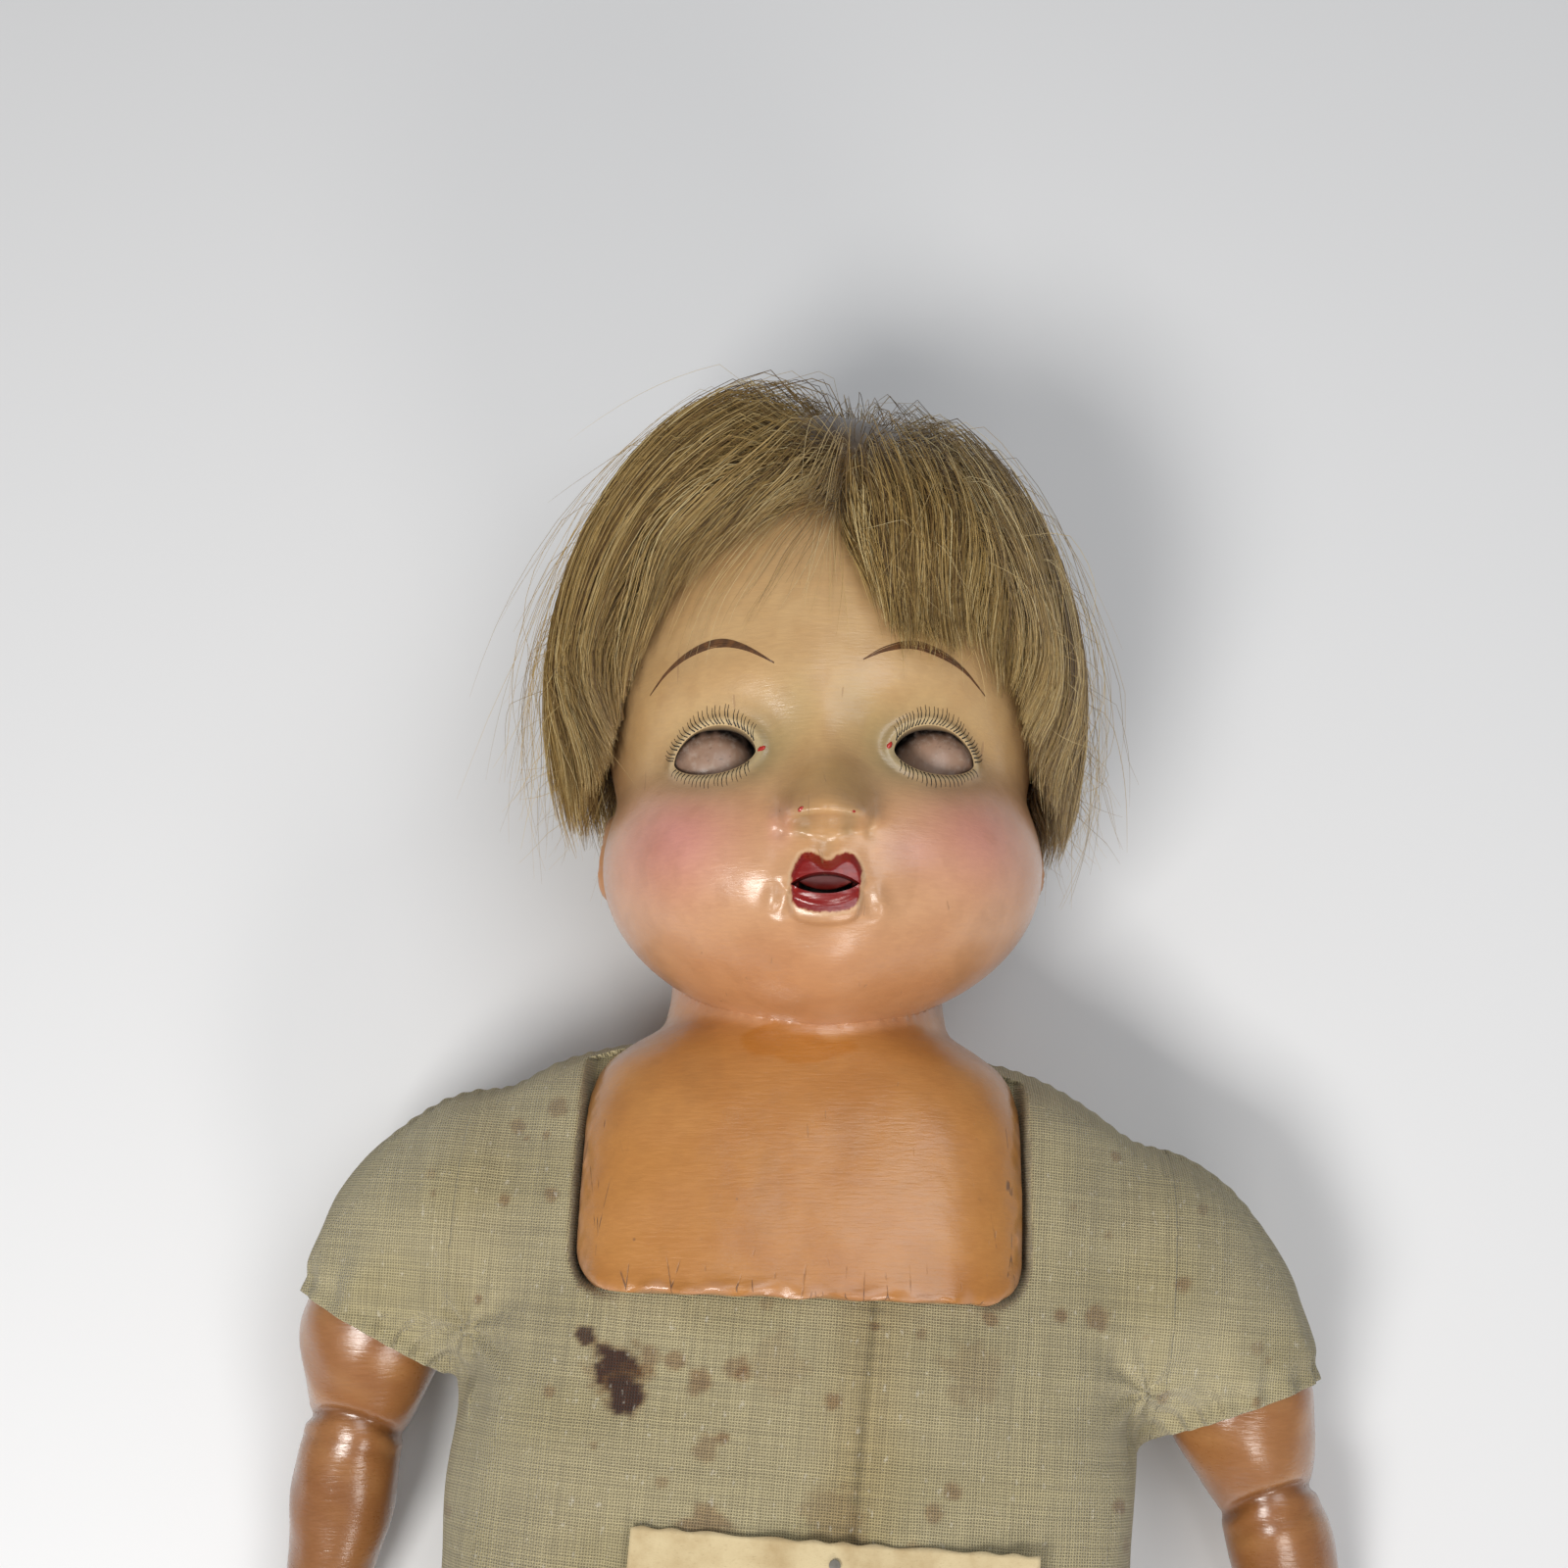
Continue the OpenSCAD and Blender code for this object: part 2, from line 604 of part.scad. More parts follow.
thigh_len = 90;
thigh_ds = [0, 14, 34, 60];
module thigh_block(grow) {
  skin_of(concat(
    [for (a = [80, 60, 40, 20]) y_ring(
      hip[0], hip[1] + (hip_r + grow) * sin(a), hip[2],
      (thigh_keys[0][2] + grow) * cos(a), (hip_r + grow) * cos(a), 2, 24)],
    [for (d = concat(thigh_ds, [thigh_len - 2 * grow])) y_ring(
      hip[0], hip[1] - d, curve(thigh_keys, d, 1),
      curve(thigh_keys, d, 2) + grow, curve(thigh_keys, d, 3) + grow, 2, 24)]
  ));
}
module thigh(s) color(linen) body_frame() side(s) as_mesh() difference() {
  intersection() {
    thigh_block(0);
    above(0);
  }
  thigh_block(-cloth);
}
module thigh_stuffing(s) color(wadding) body_frame() side(s) as_mesh() intersection() {
  thigh_block(-cloth - gap);
  translate([-big / 2, hip[1] - 72, -big / 2]) cube(big);
}

module foot() {
  hull() {
    translate([0, -262, 20]) sphere(19, $fn = 12);
    translate([0, -266, 60]) scale([1.15, 0.7, 1]) sphere(17, $fn = 12);
  }
  hull() {
    translate([0, -266, 60]) scale([1.15, 0.7, 1]) sphere(17, $fn = 12);
    translate([-2, -267, 80]) scale([1.55, 0.75, 1]) sphere(13, $fn = 12);
  }
  for (i = [0:4]) translate([13 - 7.4 * i, -266, 91 - 1.2 * (4 - i)]) sphere(i == 4 ? 6.5 : 5, $fn = 8);
}
leg_tie_d = 80;
leg_tie_r = 30;
leg_mid_z = 37;
tie_groove = tie_r + 1.1;
module leg(s) color(skin) body_frame() side(s) translate([hip[0], hip[1], 0]) as_mesh() difference() {
  union() {
    limb(leg_keys, leg_ds, [0, 0, 0], 18);
    foot();
  }
  translate([0, -leg_tie_d, leg_mid_z]) tie_ring(leg_tie_r, tie_groove, 18, 13);
  below(0);
}
module leg_tie(s) color(iron) body_frame() side(s) {
  translate([hip[0], hip[1] - leg_tie_d, leg_mid_z]) tie_ring(leg_tie_r, tie_r);
}

// ---------------------------------------------------------------- nodes

head_front();
head_back();
crown_pate();
wig_cap();
wig_hair();
eye_bearing(-1);  // right_eye_bearing
eye_bearing(1);  // left_eye_bearing
mouth_bracket();
cord_eyelet();
torso_cloth();
torso_stuffing();
paper_label();
label_pin();
eyeball(-1);  // right_eyeball
eyeball(1);  // left_eyeball
iris(-1);  // right_iris
iris(1);  // left_iris
eyelid(-1);  // right_eyelid
eyelid(1);  // left_eyelid
eye_rocker();
eye_weight();
mouth_flap();
mouth_axle();
mouth_lever();
mouth_spring();
sleeve(-1);  // right_sleeve
sleeve_stuffing(-1);  // right_sleeve_stuffing
sleeve(1);  // left_sleeve
sleeve_stuffing(1);  // left_sleeve_stuffing
arm(-1, right_lean);  // right_arm
arm_tie(-1, right_lean);  // right_arm_tie
arm(1, left_lean);  // left_arm
arm_tie(1, left_lean);  // left_arm_tie
thigh(-1);  // right_thigh
thigh_stuffing(-1);  // right_thigh_stuffing
leg(-1);  // right_leg
leg_tie(-1);  // right_leg_tie
thigh(1);  // left_thigh
thigh_stuffing(1);  // left_thigh_stuffing
leg(1);  // left_leg
leg_tie(1);  // left_leg_tie
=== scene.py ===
"""Looks of an old ventriloquist doll lying on its back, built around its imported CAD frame.

Lengths in this script are millimetres in the row frame, and turn into metres when a mesh is made.
+X is the doll's left, +Y runs to the crown, +Z is out of the face.
"""

import math

import bmesh
import bpy
import numpy as np
from mathutils import Matrix, Vector


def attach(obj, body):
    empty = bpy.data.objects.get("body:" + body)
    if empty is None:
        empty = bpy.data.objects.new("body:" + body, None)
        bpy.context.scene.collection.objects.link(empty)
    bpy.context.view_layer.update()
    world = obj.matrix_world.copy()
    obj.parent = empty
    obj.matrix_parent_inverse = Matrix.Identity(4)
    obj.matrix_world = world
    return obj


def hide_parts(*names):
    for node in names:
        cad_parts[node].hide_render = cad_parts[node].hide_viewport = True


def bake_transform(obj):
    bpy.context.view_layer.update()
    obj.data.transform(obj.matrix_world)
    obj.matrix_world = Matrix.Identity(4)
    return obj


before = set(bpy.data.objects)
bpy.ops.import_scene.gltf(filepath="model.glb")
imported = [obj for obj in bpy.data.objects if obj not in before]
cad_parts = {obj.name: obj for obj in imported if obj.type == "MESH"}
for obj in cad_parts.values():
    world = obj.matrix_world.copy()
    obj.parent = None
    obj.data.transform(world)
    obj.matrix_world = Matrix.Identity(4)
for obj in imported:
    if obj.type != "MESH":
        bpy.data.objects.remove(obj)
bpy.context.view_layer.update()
MM = 0.001

# ------------------------------------------------------------------ sizes
# Most of them match the CAD model. JOWL and RELIEF don't: the jaw is slimmer here, and the nose stands out
# more. The gaps over the table are this script's own.

HEAD_C = np.array([0.0, 200.0, 85.0])
SKULL = (np.array([0.0, 236.0, 84.0]), np.array([71.0, 83.0, 74.0]))
JOWL = (np.array([0.0, 177.5, 98.0]), np.array([68.8, 49.0, 57.0]))
MELT = 9.0
WALL = 4.5
SEAM_Z = 78.0
CROWN_Y = 287.0
EYE = np.array([33.0, 205.0, 124.0])
EYE_R = 15.0
FLAP = np.array([0.0, 169.0, 138.5])
FLAP_R, FLAP_HALF = 13.6, 11.5
SOCKET_GAP, FLAP_GAP = 1.6, 1.1
NAPE, NAPE_HOLE_R = np.array([-5.0, 143.0, 24.0]), 4.2
PLATE_X, PLATE_PIVOT_Y, PLATE_TURN = -5.0, 131.0, -2.0
PLATE_HALF, PLATE_CORNER = 66.5, 13.0
PLATE_FRONT_Y, PLATE_BACK_Y = 48.0, 54.0
# Neck and plate: y, half width, height below and above, squareness of the section
PLATE_KEYS = np.array([
    [152, 44.0, 24, 106, 2.0], [138, 44.5, 24, 106, 2.0], [131, 47, 22, 107, 2.1], [125, 56, 15, 109, 2.4],
    [118, 64, 8, 111, 3.0], [108, 67.5, 5, 113.5, 3.6], [84, 70, 3, 117, 4], [44, 70, 2, 120, 4]])
BODY_PIVOT, BODY_TURN = np.array([0.0, 100.0]), -5.0

# Soft forms of the head: x, y, height, spread in x, spread above, spread below; mirrored where x isn't 0
RELIEF = [
    (0, 184, 15.5, 6.6, 7.5, 3.1),      # tip of the nose
    (0, 198, 3.5, 6.0, 9.0, 9.0),       # bridge
    (8.6, 182.3, 6.4, 3.4, 4.0, 2.3),   # wings of the nose
    (0, 161, 4.5, 15, 9, 10),           # the mouth stands forward
    (0, 140, 4.5, 13, 9, 9),            # chin
    (40, 170, 3.0, 15, 15, 15),         # cheeks
    (33, 206, -3.2, 14, 8, 9),          # eye hollows
    (30, 226, 1.4, 16, 6, 6),           # brow
]

CLOTH_WALL = 1.2
CLOTH_GAP, LEG_GAP, HAIR_GAP = 0.2, 0.4, 0.3    # room between the doll's pieces and the table


# ------------------------------------------------------------------ numbers and meshes

def srgb(code):
    """A colour written as rrggbb, as the linear values that a shader takes."""
    parts = [int(code[i:i + 2], 16) / 255 for i in (0, 2, 4)]
    return np.array([c / 12.92 if c <= 0.04045 else ((c + 0.055) / 1.055) ** 2.4 for c in parts])


def bump(v, spread):
    return np.exp(-v * v / (2 * spread * spread))


def ease(low, high, v):
    t = np.clip((v - low) / (high - low), 0, 1)
    return t * t * (3 - 2 * t)


def signed_power(v, e):
    return np.sign(v) * np.abs(v) ** (2 / e)


def hermite(keys, x, column):
    """Smooth curve through rows of keys, read at x in the first column."""
    order = np.argsort(keys[:, 0])
    kx, ky = keys[order, 0], keys[order, column]
    slopes = np.gradient(ky, kx) if len(kx) > 2 else np.full(2, (ky[1] - ky[0]) / (kx[1] - kx[0]))
    x = np.asarray(x, float)
    i = np.clip(np.searchsorted(kx, x) - 1, 0, len(kx) - 2)
    w = kx[i + 1] - kx[i]
    t = np.clip((x - kx[i]) / w, 0, 1)
    return ((2 * t**3 - 3 * t**2 + 1) * ky[i] + (t**3 - 2 * t**2 + t) * w * slopes[i]
            + (3 * t**2 - 2 * t**3) * ky[i + 1] + (t**3 - t**2) * w * slopes[i + 1])


def link(obj):
    bpy.context.scene.collection.objects.link(obj)
    return obj


def make_mesh(name, points, faces):
    """Object from an array of points in mm and a list, or an array, of faces."""
    mesh = bpy.data.meshes.new(name)
    if isinstance(faces, np.ndarray):
        count, corners = faces.shape
        mesh.vertices.add(len(points))
        mesh.vertices.foreach_set("co", (np.asarray(points, float) * MM).ravel())
        mesh.loops.add(count * corners)
        mesh.loops.foreach_set("vertex_index", faces.ravel().astype(np.int32))
        mesh.polygons.add(count)
        mesh.polygons.foreach_set("loop_start", np.arange(0, count * corners, corners, dtype=np.int32))
        mesh.update(calc_edges=True)
    else:
        mesh.from_pydata((np.asarray(points, float) * MM).tolist(), [], faces)
    mesh.validate()
    mesh.shade_smooth()
    return link(bpy.data.objects.new(name, mesh))


def points_of(obj):
    co = np.empty(len(obj.data.vertices) * 3)
    obj.data.vertices.foreach_get("co", co)
    return co.reshape(-1, 3) / MM


def set_points(obj, points):
    obj.data.vertices.foreach_set("co", (points * MM).ravel())
    obj.data.update()


def normals_of(obj):
    out = np.empty(len(obj.data.vertices) * 3)
    obj.data.vertex_normals.foreach_get("vector", out)
    return out.reshape(-1, 3)


def edges_of(obj):
    out = np.empty(len(obj.data.edges) * 2, np.int32)
    obj.data.edges.foreach_get("vertices", out)
    return out.reshape(-1, 2)


def relax(obj, rounds, weight=1.0, factor=0.5):
    """Laplacian smoothing, as far as weight says at each point."""
    co, edges = points_of(obj), edges_of(obj)
    a, b = edges[:, 0], edges[:, 1]
    n = len(co)
    degree = np.maximum(np.bincount(a, minlength=n) + np.bincount(b, minlength=n), 1)
    step = (np.ones(n) * weight * factor)[:, None]
    for _ in range(rounds):
        mean = np.stack([
            np.bincount(a, co[b, k], minlength=n) + np.bincount(b, co[a, k], minlength=n) for k in range(3)
        ], axis=1) / degree[:, None]
        co = co + step * (mean - co)
    set_points(obj, co)


def apply_modifiers(obj):
    bpy.context.view_layer.update()
    graph = bpy.context.evaluated_depsgraph_get()
    mesh = bpy.data.meshes.new_from_object(obj.evaluated_get(graph))
    obj.modifiers.clear()
    obj.data = mesh
    mesh.shade_smooth()
    return obj


def remesh(obj, size):
    mod = obj.modifiers.new("remesh", "REMESH")
    mod.mode = "VOXEL"
    mod.voxel_size = size * MM
    return apply_modifiers(obj)


def subdivide(obj, levels=1):
    mod = obj.modifiers.new("subdivide", "SUBSURF")
    mod.levels = levels
    mod.render_levels = levels
    return apply_modifiers(obj)


def boolean(obj, cutter, operation="DIFFERENCE"):
    """Cuts a mesh with another, which is used up."""
    mod = obj.modifiers.new("boolean", "BOOLEAN")
    mod.operation = operation
    mod.solver = "MANIFOLD"
    mod.object = cutter
    apply_modifiers(obj)
    bpy.data.objects.remove(cutter)
    return obj


def join(name, parts):
    """One object of several meshes, which may overlap."""
    joined = bmesh.new()
    for part in parts:
        joined.from_mesh(part.data)
        bpy.data.objects.remove(part)
    mesh = bpy.data.meshes.new(name)
    joined.to_mesh(mesh)
    joined.free()
    mesh.shade_smooth()
    return link(bpy.data.objects.new(name, mesh))


def edit(obj, change):
    """Opens a mesh, lets change edit it, and writes it back."""
    work = bmesh.new()
    work.from_mesh(obj.data)
    change(work)
    work.to_mesh(obj.data)
    work.free()
    obj.data.update()
    return obj


def ring_faces(m, n, start=0):
    """Faces through m rings of n points, and a cap at both ends."""
    i = np.arange(n)
    j = np.arange(m - 1)[:, None]
    a = start + j * n + i
    b = start + j * n + (i + 1) % n
    faces = np.stack([a, a + n, b + n, b], axis=-1).reshape(-1, 4).tolist()
    return faces + [(start + i).tolist(), (start + i + (m - 1) * n)[::-1].tolist()]


def skin(name, rings):
    """Closed skin through rings of points."""
    rings = np.asarray(rings, float)
    m, n, _ = rings.shape
    return make_mesh(name, rings.reshape(-1, 3), ring_faces(m, n))


def block(low, high):
    """Cutting block between two corners."""
    x, y, z = [(low[k], high[k]) for k in range(3)]
    rings = [[(x[0], y[0], h), (x[1], y[0], h), (x[1], y[1], h), (x[0], y[1], h)] for h in z]
    return outward(skin("block", rings))


def outward(obj):
    """Turns all faces of a closed mesh outward."""
    return edit(obj, lambda work: bmesh.ops.recalc_face_normals(work, faces=work.faces))


def closed_shell(name, outer, inner):
    """Closed shell of two grids of points, joined round their edges."""
    rows, columns, _ = outer.shape
    n = rows * columns
    index = np.arange(n).reshape(rows, columns)
    quads = np.stack([index[:-1, :-1], index[:-1, 1:], index[1:, 1:], index[1:, :-1]], -1).reshape(-1, 4)
    edge = np.concatenate([index[0], index[1:, -1], index[-1, -2::-1], index[-2:0:-1, 0]])
    nxt = np.roll(edge, -1)
    sides = np.stack([edge, edge + n, nxt + n, nxt], -1)
    points = np.concatenate([outer.reshape(-1, 3), inner.reshape(-1, 3)])
    return outward(make_mesh(name, points, np.concatenate([quads, quads[:, ::-1] + n, sides])))


def prism(outline, z_low, z_high):
    rings = [[(x, y, z) for x, y in outline] for z in (z_low, z_high)]
    return outward(skin("prism", rings))


def ball(center, radius, segments=48):
    work = bmesh.new()
    place = Matrix.Translation(Vector(center) * MM)
    bmesh.ops.create_uvsphere(
        work, u_segments=segments, v_segments=segments // 2, radius=radius * MM, matrix=place)
    mesh = bpy.data.meshes.new("ball")
    work.to_mesh(mesh)
    work.free()
    mesh.shade_smooth()
    return link(bpy.data.objects.new("ball", mesh))


def rod(start, end, radius, segments=32):
    start, end = np.asarray(start, float), np.asarray(end, float)
    along = (end - start) / np.linalg.norm(end - start)
    side = np.cross(along, [0.3, 0.5, 0.8])
    side /= np.linalg.norm(side)
    other = np.cross(along, side)
    t = np.linspace(0, 2 * np.pi, segments, endpoint=False)[:, None]
    ring = radius * (np.cos(t) * side + np.sin(t) * other)
    return outward(skin("rod", [start + ring, end + ring]))


def rotate(x, y, degrees):
    a = math.radians(degrees)
    return x * math.cos(a) - y * math.sin(a), x * math.sin(a) + y * math.cos(a)


def turn_body(points):
    """From the cloth body's own frame to the row frame: it lies a few degrees askew."""
    out = np.array(points, float)
    x, y = rotate(out[..., 0] - BODY_PIVOT[0], out[..., 1] - BODY_PIVOT[1], BODY_TURN)
    out[..., 0] = x + BODY_PIVOT[0]
    out[..., 1] = y + BODY_PIVOT[1]
    return out


def turn_plate(points):
    """From the plate's own frame to the row frame."""
    out = np.array(points, float)
    x, y = rotate(out[..., 0], out[..., 1] - PLATE_PIVOT_Y, PLATE_TURN)
    out[..., 0] = x + PLATE_X
    out[..., 1] = y + PLATE_PIVOT_Y
    return out


def waves(points, seed, scale, rounds=6):
    """Cheap smooth noise between about -1 and 1: a few crossing sine waves."""
    rng = np.random.default_rng(seed)
    total = np.zeros(len(points))
    for _ in range(rounds):
        direction = rng.normal(size=3)
        direction *= 2 * np.pi / (scale * np.linalg.norm(direction)) * rng.uniform(0.6, 1.5)
        total += np.sin(points @ direction + rng.uniform(0, 2 * np.pi))
    return total / math.sqrt(rounds / 2) / 1.6


def paint(obj, name, colours):
    """Stores one colour per point, which the material mixes with its own patterns."""
    layer = obj.data.color_attributes.new(name, "FLOAT_COLOR", "POINT")
    rgba = np.ones((len(colours), 4))
    rgba[:, :3] = colours
    layer.data.foreach_set("color", rgba.ravel())


def store(obj, name, values):
    layer = obj.data.attributes.new(name, "FLOAT", "POINT")
    layer.data.foreach_set("value", np.asarray(values, np.float32))


# ------------------------------------------------------------------ camera, light and stage

def add_camera():
    target, distance = np.array([-12.0, 190.0, 160.0]), 584.0
    tilt, half_view = math.radians(75), math.radians(21)
    look = np.array([0.0, math.cos(tilt), -math.sin(tilt)])
    place = target - distance * look
    data = bpy.data.cameras.new("camera")
    data.lens = data.sensor_width / 2 / math.tan(half_view)
    data.clip_start = 0.01
    data.clip_end = 20
    camera = link(bpy.data.objects.new("camera", data))
    camera.location = Vector(place) * MM
    camera.rotation_euler = Vector(look).to_track_quat("-Z", "Y").to_euler()
    bpy.context.scene.camera = camera


def add_light(name, place, target, size, power, colour):
    data = bpy.data.lights.new(name, "AREA")
    data.shape = "RECTANGLE"
    data.size, data.size_y = size
    data.energy = power
    data.color = colour
    light = link(bpy.data.objects.new(name, data))
    light.location = place
    light.rotation_euler = (Vector(target) - Vector(place)).to_track_quat("-Z", "Y").to_euler()


def add_studio():
    bpy.context.scene.view_settings.view_transform = "Standard"
    world = bpy.data.worlds.new("studio")
    world.use_nodes = True
    background = world.node_tree.nodes["Background"]
    background.inputs["Color"].default_value = (0.82, 0.83, 0.85, 1)
    background.inputs["Strength"].default_value = 0.27
    bpy.context.scene.world = world
    add_light("window", (-0.55, -0.55, 1.25), (0, 0.15, 0.1), (0.55, 0.4), 14.5, (1, 0.98, 0.95))
    add_light("ceiling", (0.45, 0.25, 1.6), (0, 0.1, 0.1), (0.9, 0.9), 8, (0.96, 0.98, 1))
    add_light("low", (0.35, -0.9, 0.7), (0, 0.15, 0.1), (0.4, 0.3), 3.5, (1, 0.95, 0.9))
    far = 6000
    corners = [(-far, -far, 0), (far, -far, 0), (far, far, 0), (-far, far, 0)]
    floor = make_mesh("floor", corners, [[0, 1, 2, 3]])
    _, shader = new_material("table_top")
    shader.inputs["Base Color"].default_value = (0.77, 0.775, 0.785, 1)
    shader.inputs["Roughness"].default_value = 0.55
    dress(floor, "table_top")


# ------------------------------------------------------------------ materials

MATERIALS = {}
THREAD_PITCH = 0.00082    # metres between the threads of the linen


def new_material(name):
    material = bpy.data.materials.new(name)
    material.use_nodes = True
    MATERIALS[name] = material
    return material.node_tree, material.node_tree.nodes["Principled BSDF"]


def dress(obj, name):
    obj.data.materials.clear()
    obj.data.materials.append(MATERIALS[name])


class Nodes:
    """Short words for the shader nodes that the materials use."""

    def __init__(self, tree):
        self.tree = tree
        self.place = tree.nodes.new("ShaderNodeTexCoord").outputs["Object"]

    def add(self, kind, **settings):
        made = self.tree.nodes.new(kind)
        for key, value in settings.items():
            setattr(made, key, value)
        return made

    def link(self, a, b):
        self.tree.links.new(a, b)

    def feed(self, socket, value):
        if isinstance(value, bpy.types.NodeSocket):
            self.link(value, socket)
        else:
            socket.default_value = value

    def scaled(self, x, y, z, source=None):
        """Coordinates in metres times a factor for each axis."""
        made = self.add("ShaderNodeVectorMath", operation="MULTIPLY")
        self.link(source or self.place, made.inputs[0])
        made.inputs[1].default_value = (x, y, z)
        return made.outputs[0]

    def noise(self, vector, scale, detail=4.0, rough=0.55, distort=0.0):
        made = self.add("ShaderNodeTexNoise")
        self.link(vector, made.inputs["Vector"])
        made.inputs["Scale"].default_value = scale
        made.inputs["Detail"].default_value = detail
        made.inputs["Roughness"].default_value = rough
        made.inputs["Distortion"].default_value = distort
        return made.outputs["Fac"]

    def cells(self, vector, scale, feature="F1", out="Distance"):
        made = self.add("ShaderNodeTexVoronoi", feature=feature)
        self.link(vector, made.inputs["Vector"])
        made.inputs["Scale"].default_value = scale
        return made.outputs[out]

    def span(self, value, low, high, to_low=0.0, to_high=1.0):
        made = self.add("ShaderNodeMapRange", interpolation_type="SMOOTHSTEP")
        self.feed(made.inputs["Value"], value)
        made.inputs["From Min"].default_value = low
        made.inputs["From Max"].default_value = high
        made.inputs["To Min"].default_value = to_low
        made.inputs["To Max"].default_value = to_high
        return made.outputs["Result"]

    def math(self, operation, a, b=0.5):
        made = self.add("ShaderNodeMath", operation=operation)
        for socket, value in zip(made.inputs, (a, b)):
            self.feed(socket, value)
        return made.outputs[0]

    def split(self, vector):
        made = self.add("ShaderNodeSeparateXYZ")
        self.link(vector, made.inputs[0])
        return made.outputs

    def pair(self, x, y):
        made = self.add("ShaderNodeCombineXYZ")
        self.link(x, made.inputs[0])
        self.link(y, made.inputs[1])
        return made.outputs[0]

    def choose(self, switch, when_off, when_on):
        """One of two vectors."""
        made = self.add("ShaderNodeMix", data_type="VECTOR")
        self.link(switch, made.inputs["Factor"])
        self.link(when_off, made.inputs[4])
        self.link(when_on, made.inputs[5])
        return made.outputs[1]

    def mix(self, amount, a, b, kind="MIX"):
        made = self.add("ShaderNodeMix", data_type="RGBA", blend_type=kind)
        self.feed(made.inputs["Factor"], amount)
        for socket, value in ((made.inputs["A"], a), (made.inputs["B"], b)):
            self.feed(socket, value if isinstance(value, bpy.types.NodeSocket) else (*value, 1))
        return made.outputs["Result"]

    def attribute(self, name, out="Color"):
        made = self.add("ShaderNodeAttribute", attribute_name=name)
        return made.outputs[out]

    def bump(self, height, distance, strength=1.0, normal=None):
        """Distance is in metres."""
        made = self.add("ShaderNodeBump")
        self.link(height, made.inputs["Height"])
        made.inputs["Distance"].default_value = distance
        made.inputs["Strength"].default_value = strength
        if normal is not None:
            self.link(normal, made.inputs["Normal"])
        return made.outputs["Normal"]


def painted_composition(name, gloss, coat, streak, crackle):
    """Painted and varnished wood pulp: brush streaks, fine pits, small scratches and specks."""
    tree, shader = new_material(name)
    n = Nodes(tree)
    tint = n.attribute("tint")
    cloudy = n.noise(n.place, 60, 5)
    colour = n.mix(n.span(cloudy, 0.35, 0.7, 0, 0.22), tint, (0.62, 0.42, 0.24), "MULTIPLY")
    streaks = n.noise(n.scaled(1, 7, 4), 160, 4, 0.6, 0.4)
    colour = n.mix(n.span(streaks, 0.35, 0.75, 0, 0.16), colour, (0.95, 0.8, 0.6), "SOFT_LIGHT")
    specks = n.cells(n.place, 170)
    chosen = n.cells(n.place, 170, out="Color")
    rare = n.math("GREATER_THAN", chosen, 0.86)
    dots = n.math("MULTIPLY", n.span(specks, 0.11, 0.05), rare)
    colour = n.mix(n.math("MULTIPLY", dots, 0.6), colour, (0.16, 0.08, 0.04))
    scratch = n.noise(n.scaled(1, 0.09, 0.3), 420, 2, 0.5, 1.2)
    scratch = n.span(scratch, 0.735, 0.76)
    colour = n.mix(n.math("MULTIPLY", scratch, 0.4), colour, (0.3, 0.16, 0.08))
    cracks = n.cells(n.scaled(1, 0.16, 0.5), 150, "DISTANCE_TO_EDGE")
    broken = n.span(n.noise(n.place, 130, 2), 0.5, 0.62)
    where = n.math("MULTIPLY", n.math("MULTIPLY", n.attribute("crazing", "Fac"), broken), crackle)
    lines = n.math("MULTIPLY", n.span(cracks, 0.022, 0.008), where)
    colour = n.mix(lines, colour, (0.1, 0.05, 0.03))
    n.link(colour, shader.inputs["Base Color"])
    rough = n.math("ADD", n.span(streaks, 0.3, 0.8, gloss, gloss + 0.13), n.attribute("dull", "Fac"))
    n.link(rough, shader.inputs["Roughness"])
    shader.inputs["Coat Weight"].default_value = coat
    shader.inputs["Coat Roughness"].default_value = 0.2
    fine = n.noise(n.place, 900, 3, 0.6)
    height = n.math("ADD", n.math("MULTIPLY", streaks, streak), n.math("MULTIPLY", fine, 0.12))
    height = n.math("SUBTRACT", height, n.math("ADD", lines, n.math("MULTIPLY", scratch, 0.4)))
    lumps = n.noise(n.place, 45, 2, 0.5)
    coarse = n.bump(lumps, 0.0012, 0.5)
    normal = n.bump(height, 0.00022, 0.7, coarse)
    n.link(normal, shader.inputs["Normal"])
    n.link(normal, shader.inputs["Coat Normal"])


